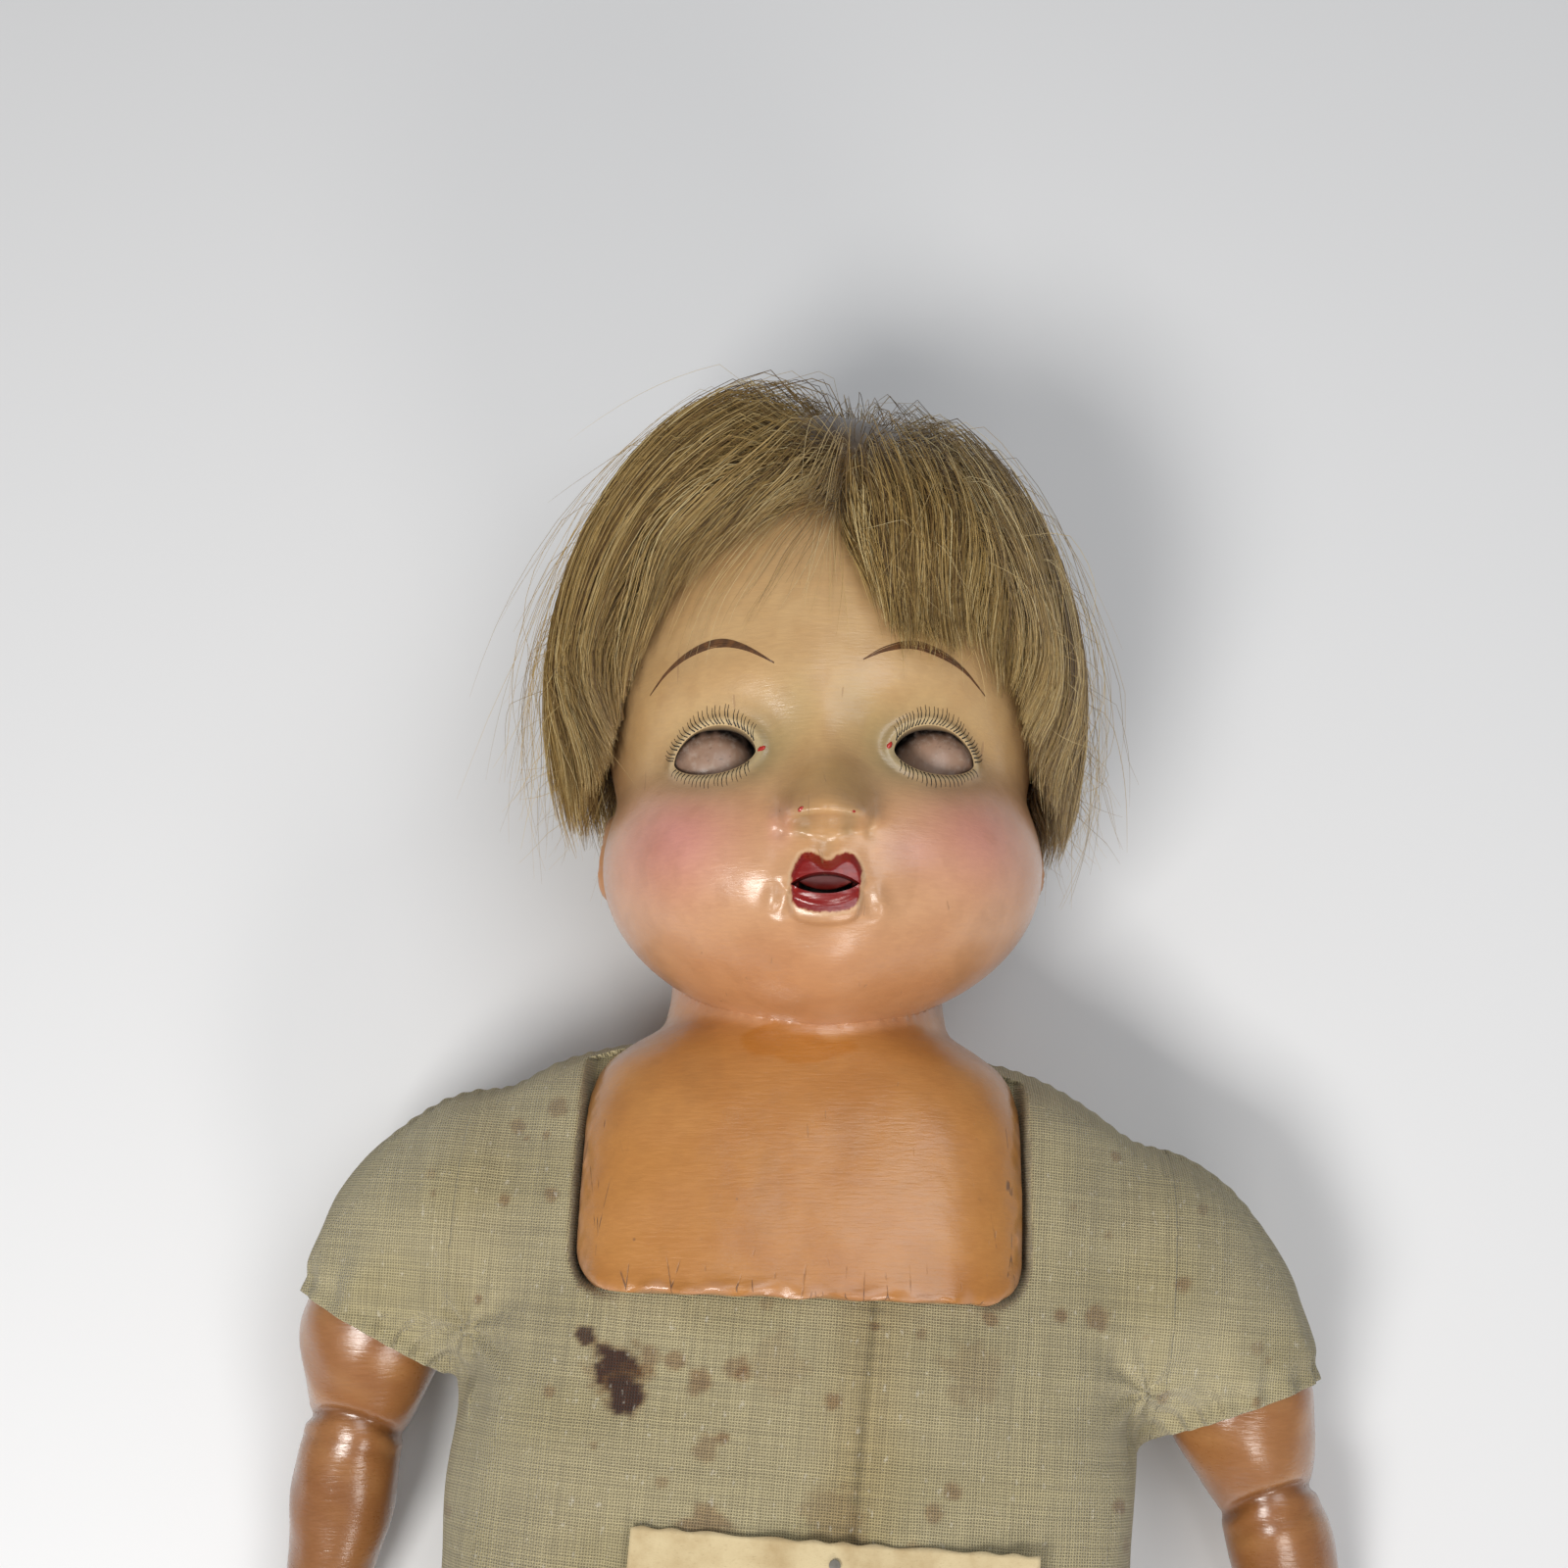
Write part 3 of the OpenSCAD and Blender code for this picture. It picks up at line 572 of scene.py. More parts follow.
def coarse_linen():
    """Open plain weave in grey-olive linen, with painted shade in the gaps between threads, and brown stains
    and painted shade on the flanks from the tint layer.
    """
    tree, shader = new_material("body_linen")
    n = Nodes(tree)
    x, y, z = list(n.split(n.attribute("weave", "Vector")))
    out_x, out_y, out_z = [n.math("ABSOLUTE", part) for part in n.split(n.attribute("facing", "Vector"))]
    in_front = n.math("GREATER_THAN", out_z, n.math("MAXIMUM", out_x, out_y))
    to_side = n.math("GREATER_THAN", out_x, out_y)
    flank = n.choose(to_side, n.pair(x, z), n.pair(z, y))
    thread = n.choose(in_front, flank, n.pair(x, y))
    split = n.split(thread)
    wander = n.noise(thread, 90, 3, 0.5)

    def run(axis, stray):
        """Count of threads along one axis, which strays a little."""
        straight = n.math("MULTIPLY", split[axis], 1 / THREAD_PITCH)
        return n.math("ADD", straight, n.math("MULTIPLY", wander, stray))

    def wave(value, angle):
        return n.math("SINE", n.math("MULTIPLY", value, angle))

    across, along = run("X", 1.3), run("Y", 1.1)
    warp, weft = wave(across, 2 * math.pi), wave(along, 2 * math.pi)
    over = n.math("MULTIPLY", wave(across, math.pi), wave(along, math.pi))
    cloth = n.math("MAXIMUM", n.math("ADD", warp, n.math("MULTIPLY", over, 0.5)),
                   n.math("SUBTRACT", weft, n.math("MULTIPLY", over, 0.5)))
    slub_x = n.noise(n.scaled(900, 18, 18, thread), 1, 3, 0.6)
    slub_y = n.noise(n.scaled(18, 900, 18, thread), 1, 3, 0.6)
    slubs = n.math("ADD", slub_x, slub_y)
    tint = n.attribute("tint")
    # The gaps between the threads are darkened as painted shade
    gap_shade = n.span(cloth, -0.5, 0.55, 1, 0)
    colour = n.mix(n.span(slubs, 0.75, 1.25, 0, 0.5), tint, (1.0, 0.97, 0.86), "SOFT_LIGHT")
    colour = n.mix(n.math("MULTIPLY", gap_shade, 0.62), colour, (0.2, 0.17, 0.1), "MULTIPLY")
    fleck = n.noise(n.scaled(500, 260, 260, thread), 1, 2, 0.6)
    colour = n.mix(n.span(fleck, 0.62, 0.75, 0, 0.35), colour, (0.75, 0.7, 0.58))
    n.link(colour, shader.inputs["Base Color"])
    shader.inputs["Roughness"].default_value = 0.92
    shader.inputs["Sheen Weight"].default_value = 0.25
    shader.inputs["Sheen Roughness"].default_value = 0.5
    height = n.math("ADD", cloth, n.math("MULTIPLY", slubs, 0.7))
    n.link(n.bump(height, 0.00028, 0.8), shader.inputs["Normal"])


def mohair():
    tree, shader = new_material("mohair")
    n = Nodes(tree)
    tint = n.attribute("tint")
    fine = n.noise(n.place, 700, 2)
    colour = n.mix(n.span(fine, 0.3, 0.75, 0, 0.3), tint, (1.0, 0.86, 0.6), "SOFT_LIGHT")
    n.link(colour, shader.inputs["Base Color"])
    shader.inputs["Roughness"].default_value = 0.42
    shader.inputs["Specular IOR Level"].default_value = 0.6
    shader.inputs["Sheen Weight"].default_value = 0.15
    shader.inputs["Sheen Roughness"].default_value = 0.4


def plain_finish(name, colour, rough, metal=0.0, coat=0.0, scale=300, contrast=0.35, depth=0.0001):
    """Worn one-colour finish: patchy colour, uneven gloss and a light texture."""
    tree, shader = new_material(name)
    n = Nodes(tree)
    patches = n.noise(n.place, scale, 4)
    dark = tuple(c * (1 - contrast) for c in colour)
    n.link(n.mix(n.span(patches, 0.3, 0.7), colour, dark), shader.inputs["Base Color"])
    n.link(n.span(patches, 0.2, 0.8, rough, min(rough + 0.15, 1)), shader.inputs["Roughness"])
    shader.inputs["Metallic"].default_value = metal
    shader.inputs["Coat Weight"].default_value = coat
    n.link(n.bump(n.noise(n.place, scale * 4, 3), depth, 0.6), shader.inputs["Normal"])


def tinted_finish(name, rough, coat, coat_rough=0.1, dusty=0.3, depth=0.00005):
    """Finish whose colour is stored on the mesh, broken up by fine dust."""
    tree, shader = new_material(name)
    n = Nodes(tree)
    dust = n.noise(n.place, 500, 5, 0.65)
    colour = n.mix(n.span(dust, 0.45, 0.8, 0, dusty), n.attribute("tint"), (0.6, 0.52, 0.45))
    n.link(colour, shader.inputs["Base Color"])
    n.link(n.span(dust, 0.3, 0.8, rough, rough + 0.2), shader.inputs["Roughness"])
    shader.inputs["Coat Weight"].default_value = coat
    shader.inputs["Coat Roughness"].default_value = coat_rough
    n.link(n.bump(dust, depth, 0.5), shader.inputs["Normal"])


def old_paper():
    tree, shader = new_material("old_paper")
    n = Nodes(tree)
    blotch = n.noise(n.place, 45, 5, 0.6)
    fibre = n.noise(n.scaled(1, 3, 1), 900, 3, 0.6)
    colour = n.mix(n.span(blotch, 0.4, 0.75), tuple(srgb("cdbb93")), tuple(srgb("ad946a")))
    colour = n.mix(n.span(fibre, 0.55, 0.75, 0, 0.35), colour, tuple(srgb("8d7650")))
    n.link(colour, shader.inputs["Base Color"])
    shader.inputs["Roughness"].default_value = 0.85
    n.link(n.bump(fibre, 0.0001, 0.5), shader.inputs["Normal"])


def make_materials():
    painted_composition("face_paint", 0.3, 0.55, 0.6, 1.0)
    painted_composition("limb_varnish", 0.26, 0.75, 0.8, 0.4)
    coarse_linen()
    mohair()
    old_paper()
    tinted_finish("lid_paint", 0.38, 0.35, 0.25)
    tinted_finish("eye_glaze", 0.12, 1.0, 0.03)
    tinted_finish("lip_paint", 0.35, 0.4, 0.15, 0.05)
    plain_finish("lash_ink", tuple(srgb("17130f")), 0.5, contrast=0.2)
    plain_finish("painted_hollow_shade", tuple(srgb("0d0a08")), 0.95, contrast=0.3)
    plain_finish("brow_ink", tuple(srgb("6b4420")), 0.45, coat=0.4, scale=500, contrast=0.5)
    plain_finish("red_dot", tuple(srgb("b3200f")), 0.3, coat=0.6, contrast=0.2)
    plain_finish("plaster", tuple(srgb("d9d4c6")), 0.9, depth=0.0004)
    plain_finish("tin", tuple(srgb("a3a29c")), 0.4, 0.9, scale=120)
    plain_finish("brass", tuple(srgb("b98d45")), 0.3, 0.95, scale=200)
    plain_finish("steel", tuple(srgb("77736c")), 0.42, 0.9, scale=150)
    plain_finish("lead", tuple(srgb("55565a")), 0.6, 0.6, scale=120)
    plain_finish("card", tuple(srgb("8f7350")), 0.9, scale=90, depth=0.0003)
    plain_finish("net", tuple(srgb("94835c")), 0.9, scale=900, depth=0.0003)
    plain_finish("wadding", tuple(srgb("cfc6ad")), 0.95, scale=200, depth=0.0008)
    plain_finish("thread", tuple(srgb("6e664c")), 0.9, scale=900)


# ------------------------------------------------------------------ head

def reach(n, form):
    """Distance from the middle of the head along unit vectors to an ellipsoid."""
    centre, radii = form
    o, d = (HEAD_C - centre) / radii, n / radii
    a, b = (d * d).sum(-1), (o * d).sum(-1)
    return (-b + np.sqrt(b * b - a * ((o * o).sum() - 1))) / a


def skull_reach(n):
    a, b = reach(n, SKULL), reach(n, JOWL)
    return (a + b + np.sqrt((a - b) ** 2 + MELT ** 2)) / 2 - MELT / 6


def ear_height(p):
    """Rounded ear with a raised rim round a hollow, one on each side."""
    a, b = (p[:, 1] - 188) / 15, (p[:, 2] - 74) / 10
    d = np.hypot(a, b)
    body = 7.5 * (1 - ease(0.72, 1.15, d))
    hollow = 4.5 * bump(d - 0.05, 0.34) * (1 - ease(-0.2, -0.8, a))
    groove = 1.4 * bump(d - 0.62, 0.09) * ease(-0.5, 0.1, a)
    return np.where(np.abs(p[:, 0]) > 40, body - hollow - groove, 0)


def relief_at(p):
    x, y, z = np.abs(p[:, 0]), p[:, 1], p[:, 2]
    total = np.zeros(len(p))
    for middle_x, middle_y, height, spread, above, below in RELIEF:
        spread_y = np.where(y > middle_y, above, below)
        total += height * bump(x - middle_x, spread) * bump(y - middle_y, spread_y)
    return total / (1 + np.exp(-(z - 104) / 5))


def eye_outline(side, grow=0.0, count=40):
    """Almond opening of one eye, from its inner corner over the top and back below."""
    inner, outer, level, over, under = 20.3 - grow, 44.9 + grow, 203.4, 9.0 + grow, 5.7 + grow
    u = (1 - np.cos(np.linspace(0, np.pi, count))) / 2
    bend_in, bend_out = 0.56, 0.5
    arch = u ** bend_in * (1 - u) ** bend_out
    arch /= arch.max()
    floor = (4 * u * (1 - u)) ** 0.6
    x = inner + (outer - inner) * u
    top = np.stack([side * x, level - 0.6 * u + over * arch], 1)
    bottom = np.stack([side * x, level - 0.6 * u - under * floor], 1)[::-1]
    return np.concatenate([top, bottom[1:-1]])


LIPS = np.array([
    (-10.3, 161.6), (-9.9, 164.8), (-8.6, 168.4), (-6.8, 170.7), (-4.7, 171.3), (-2.4, 170.2), (0.3, 168.2),
    (2.8, 169.9), (5.6, 171.1), (8.1, 170.3), (9.8, 167.8), (10.4, 164.6), (9.9, 161.6), (9.5, 158.2),
    (8.7, 155.7), (6.0, 154.2), (0.4, 153.6), (-5.4, 154.0), (-8.9, 155.4), (-10.2, 158.2)])


def mouth_outline(count=24):
    u = np.linspace(-1, 1, count)
    lens = 1 - np.abs(u) ** 2.2
    x = -0.3 + 9.9 * u
    top = np.stack([x, 161.8 + 3.0 * lens], 1)
    bottom = np.stack([x, 161.8 - 3.0 * lens], 1)[::-1]
    return np.concatenate([top, bottom[1:-1]])


def smooth_outline(points, rounds=2):
    """Closed outline with its corners cut round."""
    for _ in range(rounds):
        nxt = np.roll(points, -1, axis=0)
        points = np.stack([0.75 * points + 0.25 * nxt, 0.25 * points + 0.75 * nxt], 1).reshape(-1, 2)
    return points


def outline_distance(points, outline):
    """Distance from points to a closed outline, negative inside it."""
    a, b = outline, np.roll(outline, -1, axis=0)
    rise = b[:, 1] - a[:, 1]
    out = np.empty(len(points))
    batch = 20000
    for start in range(0, len(points), batch):
        p = points[start:start + batch, None, :]
        ab = b - a
        t = np.clip(((p - a) * ab).sum(-1) / np.maximum((ab * ab).sum(-1), 1e-9), 0, 1)
        d = np.sqrt((((p - a) - t[..., None] * ab) ** 2).sum(-1)).min(1)
        x, y = p[..., 0], p[..., 1]
        crosses = ((a[:, 1] > y) != (b[:, 1] > y))
        crossing = (b[:, 0] - a[:, 0]) * (y - a[:, 1]) / np.where(rise == 0, 1e-9, rise) + a[:, 0]
        inside = (crosses & (x < crossing)).sum(1) % 2 == 1
        out[start:start + batch] = np.where(inside, -d, d)
    return out


class FaceMap:
    """Distances from points on the face to the outlines of its eyes, mouth and lips."""

    def __init__(self, p):
        flat = p[:, :2]
        front = p[:, 2] > 100
        far = 50.0
        self.eye, self.lips, self.mouth = [np.full(len(p), far) for _ in range(3)]
        for side in (-1, 1):
            near = front & (np.abs(p[:, 0] - side * 32.6) < 30) & (np.abs(p[:, 1] - 205) < 26)
            self.eye[near] = outline_distance(flat[near], eye_outline(side))
        near = front & (np.abs(p[:, 0]) < 26) & (np.abs(p[:, 1] - 162) < 24)
        self.lips[near] = outline_distance(flat[near], smooth_outline(LIPS))
        self.mouth[near] = outline_distance(flat[near], mouth_outline())


def crease(p, start, end, bow, depth, width):
    """Groove between two points of the face on both sides, bowed outward."""
    start, end = np.array(start), np.array(end)
    along = end - start
    length = np.hypot(*along)
    along = along / length
    across = np.array([along[1], -along[0]])
    q = np.stack([np.abs(p[:, 0]), p[:, 1]], 1) - start
    t = (q @ along) / length
    off = q @ across - bow * 4 * np.clip(t, 0, 1) * (1 - np.clip(t, 0, 1))
    return -depth * bump(off, width) * ease(-0.25, 0.25, t) * (1 - ease(0.75, 1.25, t))


def face_detail(p, face):
    """Fine modelling: rims of the eyes, lips, nostrils and the creases round nose and mouth."""
    x, y = np.abs(p[:, 0]), p[:, 1]
    h = 1.0 * bump(face.eye - 1.4, 1.3)
    h -= 0.9 * bump(face.eye - 5.5, 2.2) * ease(198, 212, y)
    h += 1.5 * (1 - ease(-1.6, 0.9, face.lips))
    h += 0.6 * bump(x, 7) * bump(y - 156.6, 1.8) - 0.7 * bump(x, 7) * bump(y - 151, 2.4)
    h -= 0.7 * bump(face.mouth, 0.8)
    h -= 1.5 * bump(x - 7.0, 1.7) * bump(y - 178.6, 1.5)
    h -= 0.9 * bump(x, 2.4) * ease(168, 172, y) * (1 - ease(174, 178, y))
    h += 0.5 * bump(x - 4, 1.6) * ease(168, 171, y) * (1 - ease(173, 177, y))
    h += crease(p, (13.2, 186), (12.4, 176.5), 0.6, 1.0, 1.3)
    h += crease(p, (12, 174), (17.5, 160), 1.0, 0.9, 2.6)
    h += crease(p, (11.8, 164), (13.4, 156), 0.8, 1.3, 1.6)
    h += 0.9 * bump(x - 14.6, 2.0) * bump(y - 160, 4)
    return h / (1 + np.exp(-(p[:, 2] - 108) / 3))


def on_head(p, grow=0.0, fine=True):
    """Points pushed along their rays from the middle of the head onto its skin."""
    ray = p - HEAD_C
    n = ray / np.linalg.norm(ray, axis=1, keepdims=True)
    flat = HEAD_C + skull_reach(n)[:, None] * n
    height = relief_at(flat) + grow
    if fine:
        height = height + ear_height(flat) + face_detail(flat, FaceMap(flat))
    return flat + height[:, None] * n


def head_ball(grow, rings, sides, fine=False):
    a = np.pi * (np.arange(1, rings) / rings)[:, None]
    t = 2 * np.pi * np.arange(sides)[None, :] / sides
    n = np.stack([np.sin(a) * np.cos(t), np.sin(a) * np.sin(t), np.cos(a) * np.ones_like(t)], -1)
    points = on_head((HEAD_C + n.reshape(-1, 3) * 80), grow, fine).reshape(rings - 1, sides, 3)
    return outward(skin("head_ball", points))


def plate_tube(grow, low, high, sides=160, rows=90):
    """Neck and shoulder plate as one closed tube, between two heights up the body."""
    y = np.linspace(high, low, rows)
    half, under, over, square = [hermite(PLATE_KEYS, y, k) for k in (1, 2, 3, 4)]
    t = 2 * np.pi * np.arange(sides) / sides
    c, s = np.cos(t), np.sin(t)
    rings = []
    for k in range(len(y)):
        e = square[k]
        ring = np.stack([
            (half[k] + grow) * signed_power(c, e), np.full(sides, y[k]),
            (under[k] + over[k]) / 2 - ((over[k] - under[k]) / 2 + grow) * signed_power(s, e)], 1)
        rings.append(ring)
    return outward(skin("plate_tube", turn_plate(rings)))


def flap_outline(half, low):
    """Outline of a plate flap: straight sides and two round lower corners."""
    c = PLATE_CORNER
    turn = np.linspace(0, np.pi / 2, 12)
    left = [(-half + c - c * math.cos(t), low + c - c * math.sin(t)) for t in turn]
    right = [(half - c + c * math.sin(t), low + c - c * math.cos(t)) for t in turn]
    return [(-half, 200)] + left + right + [(half, 200)]


def plate_flap(half, low, z_low, z_high):
    """Front or back flap of the shoulder plate, cut to its outline."""
    flap = plate_tube(0, low - 20, 150)
    outline = flap_outline(half, low)
    cutter = prism(outline, z_low, z_high)
    set_points(cutter, turn_plate(points_of(cutter)))
    return boolean(flap, cutter, "INTERSECT")


def refine(obj, inside):
    """Splits the faces of part of a mesh into four."""
    keep = inside(points_of(obj))

    def split(work):
        edges = [e for e in work.edges if keep[e.verts[0].index] and keep[e.verts[1].index]]
        bmesh.ops.subdivide_edges(work, edges=edges, cuts=1, use_grid_fill=True)

    edit(obj, split)


def near_features(p):
    x, y, z = np.abs(p[:, 0]), p[:, 1], p[:, 2]
    eye = ((x - 32.6) / 19) ** 2 + ((y - 205) / 14) ** 2 < 1
    mouth = (x / 19) ** 2 + ((y - 162) / 14) ** 2 < 1
    nose = (x / 16) ** 2 + ((y - 181) / 10) ** 2 < 1
    return (eye | mouth | nose) & (z > 105)


def plate_edge_distance(p):
    """Distance inside the outline of the front flap, and the place in the plate's own frame."""
    x, y = rotate(p[:, 0] - PLATE_X, p[:, 1] - PLATE_PIVOT_Y, -PLATE_TURN)
    flat = np.stack([x, y + PLATE_PIVOT_Y], 1)
    return -outline_distance(flat, np.array(flap_outline(PLATE_HALF, PLATE_FRONT_Y))), flat


def off_skin(p):
    """Distance of points from the plain skin of the head, along their rays."""
    skin_points = on_head(p, fine=False)
    return np.abs(np.linalg.norm(p - HEAD_C, axis=1) - np.linalg.norm(skin_points - HEAD_C, axis=1))


def build_head():
    """Skull, neck and plate as one hollow casting, opened for eyes, mouth and crown, in two halves."""
    skull = head_ball(0, 110, 160)
    neck = plate_tube(0, 118, 152)
    front = plate_flap(PLATE_HALF, PLATE_FRONT_Y, 84, 200)
    back = plate_flap(PLATE_HALF, PLATE_BACK_Y, -50, 34)
    head = remesh(join("head", [skull, neck, front, back]), 1.1)
    relax(head, 3)
    p = points_of(head)
    off = off_skin(p)
    neckline = np.exp(-np.clip(off - 1.2, 0, None) ** 2 / 8) * (1 - ease(170, 180, p[:, 1]))
    relax(head, 14, neckline * ease(0.4, 1.4, off), 0.6)
    refine(head, lambda q: (np.abs(q[:, 0]) < 54) & (q[:, 1] > 142) & (q[:, 1] < 242) & (q[:, 2] > 102))
    refine(head, near_features)
    p = points_of(head)
    skin_share = 1 - ease(0.6, 1.8, off_skin(p))
    p = p + skin_share[:, None] * (on_head(p) - p)
    edge, _ = plate_edge_distance(p)
    lip = bump(edge - 0.5, 2.4) * (p[:, 1] < 112) * (p[:, 2] > 80)
    lumps = waves(p, 5, 11) + 0.6 * waves(p, 6, 5)
    p[:, 2] += lip * (0.35 + 0.45 * lumps)
    p[:, 1] += lip * 0.5 * waves(p, 7, 13) * (p[:, 1] < 60)
    set_points(head, p)
    boolean(head, head_ball(-WALL, 60, 90))
    boolean(head, plate_tube(-WALL, 30, 152, 96, 50))
    for side in (-1, 1):
        boolean(head, prism(eye_outline(side).tolist(), EYE[2], EYE[2] + 60))
        socket = ball((side * EYE[0], EYE[1], EYE[2]), EYE_R + SOCKET_GAP, 64)
        boolean(socket, head_ball(-1.0, 110, 160), "INTERSECT")
        boolean(head, socket)
    boolean(head, prism(mouth_outline().tolist(), FLAP[2], FLAP[2] + 60))
    boolean(head, rod(FLAP - [FLAP_HALF, 0, 0], FLAP + [FLAP_HALF, 0, 0], FLAP_R + FLAP_GAP, 64))
    boolean(head, block((-200, CROWN_Y, -100), (200, 400, 300)))
    boolean(head, rod(NAPE + [0, 0, -30], NAPE + [0, 0, 30], NAPE_HOLE_R, 48))
    back_half = copy_of(head, "head_back_skin")
    boolean(head, block((-200, 0, SEAM_Z), (200, 400, 300)), "INTERSECT")
    boolean(back_half, block((-200, 0, -100), (200, 400, SEAM_Z)), "INTERSECT")
    for obj, node in ((head, "head_front"), (back_half, "head_back")):
        obj.name = node + "_skin"
        obj.data.name = obj.name
        obj.data.set_sharp_from_angle(angle=math.radians(38))
        paint_head(obj)
        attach(obj, "root")
        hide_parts(node)


def colour(code):
    return srgb(code)[None, :]


def one_colour(code, p):
    return np.repeat(colour(code), len(p), 0)


def blend_in(base, share, code):
    """Colours moved towards another one, as far as share says at each point."""
    share = np.clip(share, 0, 1)[:, None]
    return base * (1 - share) + colour(code) * share


def blob(u, v, at_u, at_v, wide, tall):
    """Soft oval spot, 1 in its middle."""
    return np.exp(-((u - at_u) ** 2 / wide + (v - at_v) ** 2 / tall))


def paint_head(obj):
    """Old flesh paint: pink cheeks, olive-yellow brow and nose, amber neck and plate, red lips; with painted
    shade round the eyes, under the nose, in the creases beside nose and mouth and in the eye and mouth
    openings.
    """
    p = points_of(obj)
    x, y, z = p.T
    side = np.abs(x)
    face = FaceMap(p)
    tint = one_colour("c4956e", p)
    upper = ease(176, 214, y)
    tint = blend_in(tint, upper, "c4a070")
    jaw = (1 - ease(138, 160, y)) * ease(120, 130, y)
    tint = blend_in(tint, 0.6 * jaw, "b5794c")
    tint = blend_in(tint, 0.5 * (1 - ease(95, 125, z)) * ease(130, 160, y), "ad7447")
    left_cheek = blob(x, y, 46, 180, 330, 290)
    right_cheek = blob(x, y, -45, 178, 330, 290)
    blush = (right_cheek + 0.8 * left_cheek) * ease(90, 110, z)
    tint = blend_in(tint, 0.8 * blush, "cf8a84")
    tint = blend_in(tint, 0.5 * blob(x, y, -13, 179, 12, 30), "d68f8f")
    tint = blend_in(tint, 0.35 * blob(x, y, 24, 172, 60, 30), "dba09c")
    nose = blob(side, y, 0, 190, 190, 420) * ease(105, 125, z)
    tint = blend_in(tint, 0.75 * nose, "c39c66")
    tint = blend_in(tint, 0.45 * blob(side, y, 8, 216, 60, 110), "a8925f")
    # Greyish olive in the eye hollows and round the openings is painted shade, and the darker ring at the
    # openings is a painted shadow
    around = blob(side, y, 14, 205, 60, 110) + 0.8 * bump(face.eye - 4, 4.5)
    tint = blend_in(tint, 0.36 * around * ease(100, 118, z), "9b8a5e")
    shadow = bump(face.eye - 2, 2.6) * (1 - ease(190, 207, y) + np.exp(-((side - 18) ** 2) / 22))
    tint = blend_in(tint, 0.5 * shadow, "6f6748")
    # Painted shade under the nose and in the groove above the lip
    under_nose_shade = blob(side, y, 6.4, 178, 9, 6) + 0.6 * blob(x, y, 0, 173, 10, 12)
    tint = blend_in(tint, 0.42 * under_nose_shade * (z > 110), "777152")
    # Painted shade in the creases beside the nose wings
    nose_wing_shade = blob(side, y, 13, 179, 3, 22)
    tint = blend_in(tint, 0.3 * nose_wing_shade, "9b8b66")
    # Painted shade in the folds beside the mouth corners
    mouth_fold_shade = blob(side, y, 13.5, 159, 8, 22)
    tint = blend_in(tint, 0.35 * mouth_fold_shade * (face.lips > 0), "a07f5d")
    tint = blend_in(tint, 0.5 * bump(face.eye - 0.9, 1.0), "d0bf96")
    neck = 1 - ease(126, 146, y + 0.25 * (z - 90))
    own_skin = np.linalg.norm(p - HEAD_C, axis=1) - np.linalg.norm(on_head(p) - HEAD_C, axis=1)
    neck = np.maximum(neck * ease(1.0, 5.0, own_skin), 1 - ease(112, 124, y))
    tint = blend_in(tint, neck, "b0763a")
    fade = np.clip(0.5 + 0.5 * waves(p, 21, 60), 0, 1)
    tint = blend_in(tint, 0.35 * neck * fade, "c08a4b")
    drip = blob(x, y, -4, 121, 420, 26) + blob(x, y, -14, 127, 90, 20)
    edge = waves(p, 31, 16) * 0.25
    tint = blend_in(tint, 0.75 * ease(0.45, 0.6, drip + edge) * (z > 90) * (own_skin > 0.5), "ab6a1e")
    rim, flat = plate_edge_distance(p)
    low = (y < 100) & (z > 84)
    amber = blob(*flat.T, 45, 54, 160, 26) + 0.6 * bump(rim - 2, 2.6)
    tint = blend_in(tint, 0.5 * amber * low * np.clip(0.6 + 0.5 * waves(p, 33, 20), 0, 1), "9f6320")
    chipped = 1 - ease(-1, 3, rim + 2 * waves(p, 34, 9))
    tint = blend_in(tint, 0.5 * chipped * low, "b98d72")
    grime = ease(0.55, 0.95, waves(p, 41, 34)) * 0.12 + ease(0.5, 0.9, waves(p, 42, 9)) * 0.07
    tint = blend_in(tint, grime, "8a6038")
    chip = face.lips + 0.16 * waves(p, 51, 2.4) + 0.12 * waves(p, 52, 1.1)
    lips = 1 - ease(-0.45, 0.15, chip)
    tint = blend_in(tint, 0.5 * bump(chip - 0.55, 0.35), "e0c09c")
    tint = blend_in(tint, lips * (z > 120), "7e0601")
    tint = blend_in(tint, lips * ease(0.5, 1.0, waves(p, 53, 3.2)) * 0.35 * (z > 120), "a02410")
    inside = own_skin < -0.9
    front_hole = inside & (y > 130)
    # Near-black on the walls of the eye and mouth openings is painted shade
    rim_shade = front_hole & ((face.eye < 2.5) | (face.mouth < 2.0))
    tint[front_hole] = srgb("8a6f4c")
    tint[rim_shade] = srgb("110c0a")
    paint(obj, "tint", tint)
    # The walls of the eye and mouth openings are matte and nearly black: painted shade in the openings
    polygons = obj.data.polygons
    corners = np.empty(len(obj.data.loops), np.int32)
    obj.data.loops.foreach_get("vertex_index", corners)
    starts = np.empty(len(polygons), np.int32)
    polygons.foreach_get("loop_start", starts)
    black = np.minimum.reduceat(rim_shade[corners].astype(np.int32), starts)
    dress(obj, "face_paint")
    obj.data.materials.append(MATERIALS["painted_hollow_shade"])
    polygons.foreach_set("material_index", black)
    crazing = 0.8 * (1 - ease(3, 13, rim + 3 * waves(p, 61, 18))) * low
    store(obj, "crazing", np.clip(crazing, 0, 1))
    dull = 0.1 * ease(0.1, 0.8, waves(p, 71, 40)) - 0.06 * (lips > 0.5)
    dull = dull + 0.35 * inside + 0.12 * ease(200, 240, y)
    store(obj, "dull", np.clip(dull, -0.1, 0.6))


# ------------------------------------------------------------------ painted lines on the face

